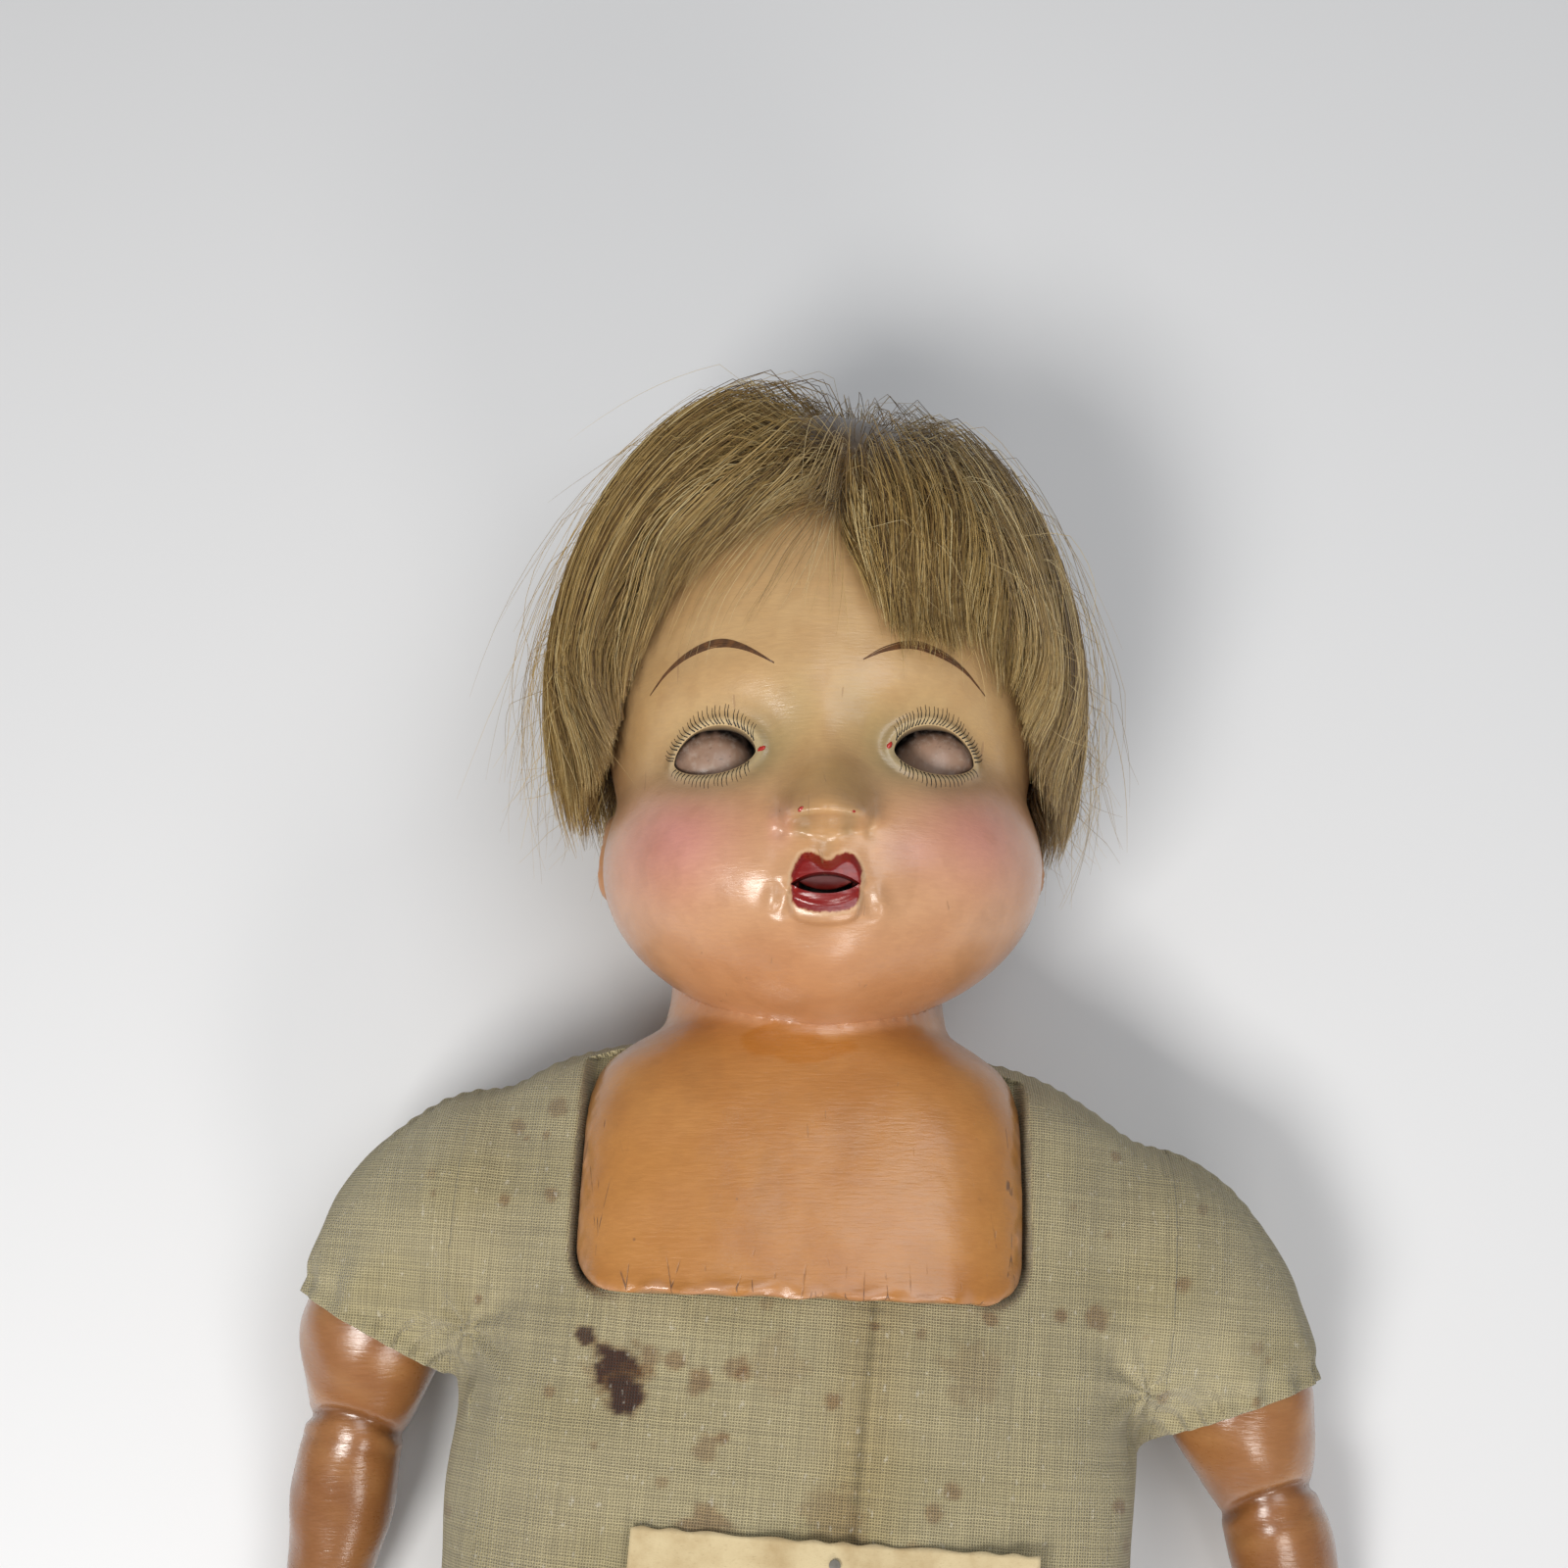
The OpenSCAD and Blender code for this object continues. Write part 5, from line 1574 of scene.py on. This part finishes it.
def build_thigh(side, word):
    """Stuffed linen upper leg, tied round the top of the hard lower leg."""
    rings = []
    for a in np.radians([86, 78, 66, 54, 42, 30, 18, 8]):
        rings.append(superellipse(0, HIP_R * math.sin(a), 36, 38 * math.cos(a), HIP_R * math.cos(a), 2, 64))
    for d in np.linspace(0, 90, 46):
        z, a, b = [hermite(THIGH_KEYS, d, k) for k in (1, 2, 3)]
        rings.append(superellipse(0, -d, z, a, b, 2, 64))
    thigh = outward(skin(word + "_thigh_cloth", np.array(rings)))

    def held(p):
        seam = 0.4 * bump(np.abs(p[:, 0]) - 38, 6) * bump(p[:, 2] - 38, 6)
        return np.clip(ease(-64, -78, p[:, 1]) + seam, 0, 1)

    inflate(thigh, 4.0, 2.0, 3.0, held)
    subdivide(thigh, 2)
    p, normals = points_of(thigh), normals_of(thigh)
    around = np.arctan2(p[:, 2] - 37, p[:, 0])
    tied = bump(p[:, 1] + 80, 9)
    h = 0.8 * waves(p, 141 + side, 40) + 0.9 * tied * np.sin(17 * around + 2 * np.sin(2 * around))
    h -= 1.0 * bump(np.abs(p[:, 2] - 38), 1) * bump(np.abs(p[:, 0]) - 39, 5)
    limit = 1.6 * (1 - bump(p[:, 1] - 14, 20))
    p += normals * np.clip(h, -2, limit)[:, None]
    p[:, 2] = np.maximum(p[:, 2], CLOTH_GAP)
    set_points(thigh, p)
    bisect(thigh, (0, -89.5, 0), (0, -1, 0), fill=False)
    thicken(thigh, CLOTH_WALL)
    p, normals = points_of(thigh), normals_of(thigh)
    p[:, 0] += side * HIP[0]
    p[:, 1] += HIP[1]
    finish_cloth(thigh, p, normals)
    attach(thigh, word + "_leg_body")
    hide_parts(word + "_thigh", word + "_thigh_stuffing")


# ------------------------------------------------------------------ arms and legs

ARM_KEYS = np.array([
    [0, 0, 22.5, 22.5], [10, -1, 23.5, 23], [22, -4, 21, 21], [32, -8, 17.8, 18.5], [39, -11, 15.2, 16.5],
    [44, -12, 15.8, 17], [56, -16, 17, 17], [72, -22, 16, 15], [90, -28, 13, 12.5], [102, -31.5, 11.5, 11],
    [114, -35, 14.5, 10.5], [128, -37.5, 16.5, 9.5], [138, -39, 15.4, 8.4], [143, -39.5, 13, 6]])
ARM_BALL = np.array([136.0, 37.0, 48.0])
FINGERS = ((-11.0, 15), (-3.8, 20), (3.6, 19), (10.6, 13))    # x and length of each
KNUCKLE_Y = -134.0
TOES = [13 - 7.4 * i for i in range(5)]
BIG_TOE = 4
# Foot: along the leg, height, radius, and how far each ball is stretched across and along
FOOT = [
    (-262, 20, 19, 1, 1), (-264, 34, 20, 1.0, 0.9), (-266, 50, 19, 1.08, 0.75),
    (-266, 62, 17, 1.15, 0.7), (-267, 72, 14.6, 1.38, 0.72), (-267, 80, 13, 1.55, 0.75)]


def limb_loft(name, keys, ds, count=72):
    rings = []
    for d in ds:
        z, a, b = [hermite(keys, d, k) for k in (1, 2, 3)]
        rings.append(superellipse(0, -d, z, a, b, 2, count))
    return outward(skin(name, rings))


def digit(points, radii):
    """Finger or toe: balls and rods along a line, to be melted into the limb."""
    parts = [ball(p, r, 20) for p, r in zip(points, radii)]
    for a, b, ra, rb in zip(points[:-1], points[1:], radii[:-1], radii[1:]):
        a, b = np.array(a, float), np.array(b, float)
        along = (b - a) / np.linalg.norm(b - a)
        side = np.cross(along, [0, 0.2, 1.0])
        side /= np.linalg.norm(side)
        other = np.cross(along, side)
        t = np.linspace(0, 2 * np.pi, 20, endpoint=False)[:, None]
        ring = np.cos(t) * side + np.sin(t) * other
        parts.append(outward(skin("rod", [a + ra * ring, b + rb * ring])))
    return parts


def limb_tint(p, seed, stretch):
    """Orange-brown varnish, paler and darker in patches, and darker in the creases."""
    tint = one_colour("966539", p)
    tint = blend_in(tint, 0.5 * np.clip(0.5 + 0.7 * waves(p, seed, 45), 0, 1), "85532a")
    tint = blend_in(tint, 0.4 * np.clip(waves(p, seed + 1, 18), 0, 1), "a8794a")
    tint = blend_in(tint, stretch, "653a16")
    return tint


def build_arm(side, word, lean):
    """Hard arm with elbow creases and a hand of four fingers and a thumb, leaning by some degrees."""
    arm = limb_loft("arm", ARM_KEYS, np.linspace(0, 143, 80))
    parts = [arm, ball((0, 0, 0), 23, 64)]
    for x, long in FINGERS:
        y = KNUCKLE_Y
        line = [(x * 0.92, y + 6, -38.5), (x, y - 3, -37.8), (x * 1.08, y - 3 - 0.55 * long, -38.6),
                (x * 1.13, y - 3.6 - long, -37.2)]
        parts += digit(line, (4.4, 4.3, 4.0, 3.4))
    thumb = [(-8, -112, -33.5), (-13.5, -121, -31), (-18.5, -129, -29.5), (-19.5, -134, -29)]
    parts += digit(thumb, (6.2, 5.4, 4.6, 3.9))
    arm = remesh(join(word + "_arm_skin", parts), 0.95)
    relax(arm, 6)
    p, normals = points_of(arm), normals_of(arm)
    down = -p[:, 1]
    angle = np.arctan2(p[:, 2] + 12, p[:, 0])
    front = ease(-0.4, 0.5, np.sin(angle))
    elbow = bump(down - 38.5 - 1.8 * np.cos(angle * 2), 1.3) * (0.35 + 0.65 * front)
    second = bump(down - 47 + 1.5 * np.sin(angle), 1.6) * front * 0.5
    wrist = bump(down - 101 - 1.2 * np.cos(angle), 1.2)
    knuckles = sum(bump(p[:, 0] - x, 1.8) * bump(down - 130, 2.2) for x, _ in FINGERS)
    knuckles = knuckles * (normals[:, 2] > 0.3)
    nails = sum(bump(p[:, 0] - x * 1.13, 1.9) * bump(down - 136.5 - long, 2.0) for x, long in FINGERS)
    nails = nails * (normals[:, 2] > 0.4)
    h = -1.6 * elbow - 0.9 * second - 1.3 * wrist - 0.7 * knuckles - 0.3 * nails
    h = h + 0.35 * waves(p, 151 + side, 24)
    h -= 1.9 * bump(p[:, 1] - 9, 1.3) * (p[:, 1] > 2)
    set_points(arm, p + normals * h[:, None])
    relax(arm, 1)
    p = points_of(arm)
    crease_share = np.clip(0.9 * elbow + 0.5 * second + 0.8 * wrist + 0.4 * knuckles, 0, 1)
    tint = limb_tint(p, 161 + side, 0.75 * crease_share)
    tint = blend_in(tint, 0.5 * ease(44, 60, down), "7b4d25")
    tint = blend_in(tint, 0.4 * nails, "d9a489")
    paint(arm, "tint", tint)
    store(arm, "crazing", np.clip(1 - ease(0, 14, down), 0, 1) * 0.4)
    store(arm, "dull", 0.12 * np.clip(waves(p, 171, 30), 0, 1))
    p = points_of(arm)
    x, y = rotate(p[:, 0], p[:, 1], lean)
    set_limb(arm, np.stack([x, y, p[:, 2]], 1) + ARM_BALL, side)
    dress(arm, "limb_varnish")
    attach(arm, word + "_forearm")
    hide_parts(word + "_arm")


def set_limb(obj, p, side):
    """Puts a limb that was made for the doll's left side on one side of the body."""
    p[:, 0] *= side
    set_points(obj, turn_body(p))
    if side < 0:
        obj.data.flip_normals()


def build_leg(side, word):
    """Hard lower leg with knee and ankle creases, foot and five toes."""
    leg = limb_loft("leg", LEG_KEYS, np.linspace(74, 277, 90))
    parts = [leg]
    for y, z, r, sx, sy in FOOT:
        lump = ball((0, 0, 0), r, 40)
        set_points(lump, points_of(lump) * [sx, sy, 1] + [-1 if z > 70 else 0, y, z])
        parts.append(lump)
    for i, x in enumerate(TOES):
        r = 6.4 if i == BIG_TOE else 4.9
        parts += digit([(x, -267, 82), (x, -265.5, 91 - 1.2 * (BIG_TOE - i))], (r, r * 0.95))
    leg = remesh(join(word + "_leg_skin", parts), 1.3)
    relax(leg, 8)
    p, normals = points_of(leg), normals_of(leg)
    down = -p[:, 1]
    angle = np.arctan2(p[:, 2] - 33, p[:, 0])
    knee = bump(down - 133 - 2 * np.cos(2 * angle), 1.8)
    ankle = bump(down - 240 - 3 * np.cos(angle - 1.2), 1.8) * (p[:, 2] < 60)
    nails = sum(bump(p[:, 0] - x, 1.9) * bump(p[:, 2] - 93, 2.4) for x in TOES) * (normals[:, 1] > 0.3)
    h = -1.8 * knee - 1.5 * ankle - 0.3 * nails + 0.5 * waves(p, 181 + side, 36)
    h -= 1.9 * bump(down - 80, 1.4)
    p += normals * h[:, None]
    p[:, 2] = np.maximum(p[:, 2], LEG_GAP)
    set_points(leg, p)
    relax(leg, 1)
    p = points_of(leg)
    tint = limb_tint(p, 191 + side, 0.7 * np.clip(knee + ankle, 0, 1))
    paint(leg, "tint", tint)
    store(leg, "crazing", 0.3 * np.clip(1 - ease(80, 100, down), 0, 1))
    store(leg, "dull", 0.12 * np.clip(waves(p, 201, 30), 0, 1))
    set_limb(leg, p + [HIP[0], HIP[1], 0], side)
    dress(leg, "limb_varnish")
    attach(leg, word + "_leg_body")
    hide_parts(word + "_leg")


# ------------------------------------------------------------------ paper label

def build_label():
    """Blank card of old paper on the front, bowed with the body and pinned near its upper edge."""
    width, height, bow = 116.0, 74.0, 330.0
    middle_x, middle_y, crest_z = 13, -54.7, 116.3
    u = np.linspace(-1, 1, 90)[None, :]
    v = np.linspace(1, -1, 60)[:, None]
    x = middle_x + width / 2 * u + 0 * v
    rough = 0.35 * np.sin(31 * u + 2 * np.sin(7 * u)) * (np.abs(v) > 0.999)
    y = middle_y + height / 2 * v + rough + 0.8 * u * v
    corners = 1.6 * np.clip(np.abs(u) - 0.72, 0, 1) ** 2 * 14 * np.clip(v + 0.1, 0, 1)
    z = crest_z - bow + np.sqrt(bow ** 2 - x ** 2)
    z = z + corners + 0.35 * np.sin(5 * u + 3 * v)
    z = z + 0.5 * np.clip(-v - 0.6, 0, 1) * 3
    top = np.stack([x, y, z], -1).reshape(-1, 3)
    rows, columns = x.shape
    index = np.arange(rows * columns).reshape(rows, columns)
    quads = np.stack([index[:-1, :-1], index[1:, :-1], index[1:, 1:], index[:-1, 1:]], -1).reshape(-1, 4)
    label = make_mesh("label_paper", turn_body(top), quads)
    thicken(outward(label), 0.35)
    dress(label, "old_paper")
    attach(label, "root")
    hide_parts("paper_label")


# ------------------------------------------------------------------ wig

# The wig's outer ellipsoid, its whorl, and the line over the brow at which the hair ends
HAIR_C, HAIR_R = np.array([-2.0, 236.0, 86.0]), np.array([89.0, 116.0, 86.0])
WHORL = np.array([12.0, 316.0, 118.0])
FRINGE = np.array([
    (-84, 198), (-72, 197), (-66, 210), (-60, 230), (-51, 247), (-42, 260), (-30, 271), (-14, 279), (0, 278),
    (7, 262), (12, 243), (20, 237), (32, 235), (47, 236), (58, 227), (66, 207), (74, 190), (86, 187)], float)
LOOSE, WISPS = 650, 170
STRANDS_PER_LOCK, STRANDS_PER_PIECE = 26, 2800
STRAND_ROWS = 12


def hair_edge(p):
    """How far a point is above the line at which the hair ends."""
    front = np.interp(p[:, 0], FRINGE[:, 0], FRINGE[:, 1])
    share = ease(88, 104, p[:, 2])
    side = 187 + 11 * ease(20, -20, p[:, 0])
    return p[:, 1] - (share * front + (1 - share) * side)


def hair_layer(n, depth):
    """Points along unit vectors at a depth in the wig, from 0 on the scalp to 1 on its outside."""
    scalp = skull_reach(n) + relief_at(HEAD_C + skull_reach(n)[:, None] * n)
    outside = np.maximum(reach(n, (HAIR_C, HAIR_R)), scalp + 4)
    return HEAD_C + (scalp + 1.2 + np.asarray(depth) * (outside - scalp - 1.2))[:, None] * n


def unit(v):
    return v / np.maximum(np.linalg.norm(v, axis=-1, keepdims=True), 1e-9)


def combed(p, lean):
    """Direction of the combed hair: away from the whorl and down, with a sweep to the doll's right."""
    normal = unit(p - HEAD_C)
    away = p - WHORL
    near = bump(np.linalg.norm(away, axis=1), 34)[:, None]
    to_right = ease(18, -24, p[:, 0])
    sweep = 0.12 - 0.85 * to_right * (1 + ease(255, 300, p[:, 1]))
    sweep = sweep * ease(60, 110, p[:, 2]) * ease(215, 255, p[:, 1])
    down = np.stack([sweep + lean, np.full(len(p), -1.0), 0 * sweep], 1)
    flow = 1.6 * near * unit(away) + down * (1 - 0.75 * near)
    flow = flow - (flow * normal).sum(1, keepdims=True) * normal
    return unit(flow)


def comb_strands(rng, roots, depth, lean, length, drop=0.0):
    """Walks strands over the head from their roots, to their length or to drop past the edge of the hair."""
    step = 4.0
    p = hair_layer(unit(roots - HEAD_C), 0.05 + 0 * depth)
    count = int(length.max() / step) + 1
    path = [p]
    alive = np.ones(len(p))
    steps = np.zeros(len(p))
    ragged = np.where(p[:, 2] > 95, 4.0, 7.0)
    jitter = 3 + ragged * rng.normal(size=len(p)) + 5 * waves(roots, 212, 9) - drop
    for k in range(count):
        wander = lean + 0.10 * np.sin(0.35 * k + jitter) + 0.3 * waves(p, 211, 34)
        q = p + combed(p, wander) * step
        rise = np.minimum(1, (k + 1) / 5) * depth
        edge = hair_edge(q)
        close = ease(45, 5, edge) * ease(95, 120, q[:, 2])
        q = hair_layer(unit(q - HEAD_C), rise * (1 - 0.55 * close))
        alive = alive * (edge > jitter) * ((k + 1) * step < length)
        steps += alive
        p = np.where(alive[:, None] > 0, q, p)
        path.append(p)
    path = np.stack(path, 1)
    spot = np.linspace(0, 1, STRAND_ROWS)[None, :] * np.maximum(steps, 1)[:, None]
    low = np.minimum(np.floor(spot).astype(int), path.shape[1] - 2)
    part = (spot - low)[..., None]
    index = np.arange(len(path))[:, None]
    out = path[index, low] * (1 - part) + path[index, low + 1] * part
    return out[steps > 3]


def gather(rng, paths, share):
    """Draws strands together into locks, more towards their ends."""
    ends = paths[:, -1]
    guides = rng.choice(len(paths), max(len(paths) // STRANDS_PER_LOCK, 4), replace=False)
    nearest = np.empty(len(paths), int)
    middles = paths[:, 5]
    batch = 2000
    for start in range(0, len(paths), batch):
        gap = np.linalg.norm(ends[start:start + batch, None] - ends[guides][None], axis=2)
        gap += 0.35 * np.linalg.norm(middles[start:start + batch, None] - middles[guides][None], axis=2)
        nearest[start:start + batch] = guides[gap.argmin(1)]
    t = np.linspace(0, 1, paths.shape[1])[None, :, None]
    pull = share[:, None, None] * t ** 1.4
    return paths + pull * (paths[nearest] - paths) * 0.8


def strand_mesh(name, paths, widths, tints):
    """Thin three-sided hairs along their paths, darker at the root as painted shade."""
    sides = 3
    count, rows, _ = paths.shape
    along = unit(np.gradient(paths, axis=1))
    normal = unit(paths - HEAD_C)
    across = unit(np.cross(along, normal))
    up = np.cross(across, along)
    t = np.linspace(0, 1, rows)[None, :, None]
    radius = widths[:, None, None] / 2 * (1 - 0.75 * t ** 3) * np.minimum(1, 0.5 + 4 * t)
    angle = 2 * np.pi * np.arange(sides) / sides
    ring = (np.cos(angle)[None, None, :, None] * across[:, :, None]
            + np.sin(angle)[None, None, :, None] * up[:, :, None])
    points = paths[:, :, None] + radius[..., None] * ring
    base = (np.arange(count) * rows * sides)[:, None, None]
    j = np.arange(rows - 1)[None, :, None]
    i = np.arange(sides)[None, None, :]
    a = base + j * sides + i
    b = base + j * sides + (i + 1) % sides
    quads = np.stack([a, b, b + sides, a + sides], -1).reshape(-1, 4)
    obj = make_mesh(name, points.reshape(-1, 3), quads)
    # Darker towards the root: painted shade inside the hair
    shade = 0.5 + 0.5 * ease(0, 0.4, t)
    colours = tints[:, None, None, :] * shade[..., None] * np.ones((1, 1, sides, 1))
    paint(obj, "tint", colours.reshape(-1, 3))
    return obj


def scalp_roots(rng, count, keep):
    """Points spread over the scalp where keep says that hair grows."""
    found = []
    total = 0
    while total < count:
        n = unit(rng.normal(size=(4 * count, 3)))
        p = HEAD_C + skull_reach(n)[:, None] * n
        p = p[keep(p)]
        found.append(p)
        total += len(p)
    return np.concatenate(found)[:count]


def hair_tints(rng, count, light):
    """Ash blonde with paler and browner strands."""
    shades = np.stack([srgb(c) for c in ("4b3517", "7a5e30", "9f824a", "bfa168", "dcc794")])
    pick = np.clip(light + rng.normal(0, 0.85, count), 0, 3.999)
    low = pick.astype(int)
    share = (pick - low)[:, None]
    return shades[low] * (1 - share) + shades[low + 1] * share


def scalp_grid(rings, sides):
    """Unit vectors in rings round the Y axis."""
    a = np.pi * (np.arange(1, rings) / rings)[:, None]
    t = 2 * np.pi * np.arange(sides)[None, :] / sides
    n = np.stack([np.sin(a) * np.cos(t), np.cos(a) * np.ones_like(t), np.sin(a) * np.sin(t)], -1)
    return n.reshape(-1, 3)


def scalp_patch(name, p, sides, keep):
    """Mesh of the part of such a grid that keep marks."""
    index = np.arange(len(p)).reshape(-1, sides)
    nxt = np.roll(index, -1, axis=1)
    quads = np.stack([index[:-1], index[1:], nxt[1:], nxt[:-1]], -1).reshape(-1, 4)
    quads = quads[keep[quads].all(1)]
    used = np.unique(quads)
    remap = np.full(len(p), -1)
    remap[used] = np.arange(len(used))
    return make_mesh(name, p[used], remap[quads])


def hair_lane(p):
    """Angle at which the combed hair fans out below the whorl."""
    return np.arctan2(p[:, 0] - WHORL[0], 325 - p[:, 1] + 0.4 * p[:, 2])


def build_hair_base():
    """Dense under-layer of the wig, grooved like combed hair."""
    rings, sides = 200, 260
    n = scalp_grid(rings, sides)
    base = hair_layer(n, 0.42)
    lane = hair_lane(base)
    groove = np.sin(90 * lane + 3 * waves(base, 221, 50))
    groove = groove + 0.6 * np.sin(210 * lane + 2 * waves(base, 222, 30))
    edge = hair_edge(base) + 3 * waves(base, 223, 14)
    keep = edge > 20
    thin = ease(20, 46, edge)
    p = hair_layer(n, 0.06 + 0.36 * thin) + n * (0.35 * groove * thin)[:, None]
    base = scalp_patch("hair_base", p, sides, keep)
    largest_patch = 3000    # mm2; a larger filled hole is the open lower edge

    def close_small_holes(work):
        bmesh.ops.holes_fill(work, edges=[e for e in work.edges if e.is_boundary], sides=400)
        bmesh.ops.recalc_face_normals(work, faces=work.faces)
        large = [f for f in work.faces if len(f.verts) > 4 and f.calc_area() * 1e6 > largest_patch]
        bmesh.ops.delete(work, geom=large, context="FACES")

    edit(base, close_small_holes)
    thicken(base, 0.8)
    q = points_of(base)
    bands = 0.5 + 0.5 * np.sin(90 * hair_lane(q) + 3 * waves(q, 221, 50))
    tint = blend_in(one_colour("5f4823", q), bands * 0.6, "86693a")
    tint = blend_in(tint, bump(np.linalg.norm(q - WHORL, axis=1), 20), "33220c")
    paint(base, "tint", tint)
    dress(base, "mohair")
    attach(base, "root")
    return base


def build_cap():
    """Net cap glued to the scalp, which carries the hair and stays under it."""
    rings, sides = 120, 160
    n = scalp_grid(rings, sides)
    p = HEAD_C + (skull_reach(n) + 1.0)[:, None] * n
    keep = (hair_edge(p) > 22) & (p[:, 1] > 215)
    cap = scalp_patch("net_cap", p, sides, keep)
    thicken(outward(cap), 0.4)
    dress(cap, "net")
    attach(cap, "root")
    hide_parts("wig_cap")


def build_wig():
    """Mohair in layers of combed strands over the dense base, with wisps at the parting and loose hairs."""
    rng = np.random.default_rng(77)
    pieces = [build_hair_base()]

    def all_over(p):
        return (hair_edge(p) > 14) & (p[:, 2] > 6)

    def crown(p):
        return (np.linalg.norm(p - WHORL, axis=1) < 62) & (p[:, 1] > 262)

    def forelock(p):
        return (p[:, 1] > 268) & (p[:, 2] > 96)

    def fringe(p):
        return (hair_edge(p) > 6) & (hair_edge(p) < 50) & (p[:, 2] > 108)

    plans = (
        ("hair_under", all_over, 5200, (0.25, 0.65), 1.1, (40, 150)),
        ("hair_crown", crown, 5200, (0.45, 1.0), 2.0, (90, 175)),
        ("hair_front", forelock, 4600, (0.35, 0.95), 2.2, (40, 150)),
        ("hair_fringe", fringe, 2600, (0.1, 0.6), 1.7, (20, 75)),
        ("hair_sides", all_over, 4600, (0.5, 1.0), 2.0, (60, 170)),
    )
    for name, keep, count, layers, light, lengths in plans:
        roots = scalp_roots(rng, count, keep)
        depth = rng.uniform(*layers, count)
        lean = rng.normal(0, 0.09, count)
        length = rng.uniform(*lengths, count)
        paths = comb_strands(rng, roots, depth, lean, length)
        paths = gather(rng, paths, rng.uniform(0.2, 0.95, len(paths)))
        local = waves(paths[:, 7], 231, 11) * 1.1
        tints = hair_tints(rng, len(paths), light + local)
        widths = rng.uniform(0.18, 0.36, len(paths))
        shares = np.array_split(np.arange(len(paths)), 1 + len(paths) // STRANDS_PER_PIECE)
        for part, chosen in enumerate(shares, 1):
            pieces.append(strand_mesh(f"{name}_{part}", paths[chosen], widths[chosen], tints[chosen]))

    def parting(p):
        return (np.abs(p[:, 0] + 2) < 20) & (p[:, 1] > 276) & (p[:, 1] < 300) & (p[:, 2] > 110)

    roots = scalp_roots(rng, WISPS, parting)
    paths = comb_strands(rng, roots, rng.uniform(0.05, 0.3, WISPS), rng.normal(0, 0.1, WISPS),
                         rng.uniform(25, 62, WISPS), drop=36.0)
    widths = rng.uniform(0.14, 0.24, len(paths))
    pieces.append(strand_mesh("hair_wisps", paths, widths, hair_tints(rng, len(paths), 2.8)))
    roots = scalp_roots(rng, LOOSE, all_over)
    paths = comb_strands(rng, roots, rng.uniform(0.9, 1.12, LOOSE), rng.normal(0, 0.45, LOOSE),
                         rng.uniform(60, 170, LOOSE))
    t = np.linspace(0, 1, paths.shape[1])[None, :, None]
    astray = rng.normal(0, 1, (len(paths), 1, 3)) * 7
    lifted = unit(paths[:, -1:] - HEAD_C) * rng.uniform(0, 12, (len(paths), 1, 1))
    loose = astray + lifted
    bow = np.sin(np.pi * t) * rng.normal(0, 1, (len(paths), 1, 3)) * 4
    paths = paths + loose * t ** 2 + bow
    paths[..., 2] = np.maximum(paths[..., 2], 1.0)
    widths = rng.uniform(0.12, 0.22, len(paths))
    pieces.append(strand_mesh("hair_loose", paths, widths, hair_tints(rng, len(paths), 2.6)))
    for obj in pieces:
        p = points_of(obj)
        p[:, 2] = np.maximum(p[:, 2], HAIR_GAP)
        set_points(obj, p)
        dress(obj, "mohair")
        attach(obj, "root")
    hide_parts("wig_hair")


# ------------------------------------------------------------------ the whole doll

KEPT = {
    "crown_pate": "card", "right_eye_bearing": "plaster", "left_eye_bearing": "plaster",
    "mouth_bracket": "tin", "cord_eyelet": "brass", "label_pin": "steel", "eye_rocker": "steel",
    "mouth_axle": "steel", "mouth_lever": "steel", "mouth_spring": "steel", "eye_weight": "lead",
    "right_arm_tie": "steel", "left_arm_tie": "steel", "right_leg_tie": "steel", "left_leg_tie": "steel"}


def refinish(node, material):
    """Gives a part kept from the CAD model one of the materials made here."""
    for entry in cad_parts[node].material_slots:
        entry.material = MATERIALS[material]


make_materials()
add_camera()
add_studio()
build_head()
build_lashes()
paint_dots()
build_eyes()
build_mouth_flap()
build_cloth_body()
for side, word, lean in ((-1, "right", 7.0), (1, "left", 22.0)):
    build_arm(side, word, lean)
    build_thigh(side, word)
    build_leg(side, word)
build_label()
build_cap()
build_wig()
for node, material in KEPT.items():
    refinish(node, material)
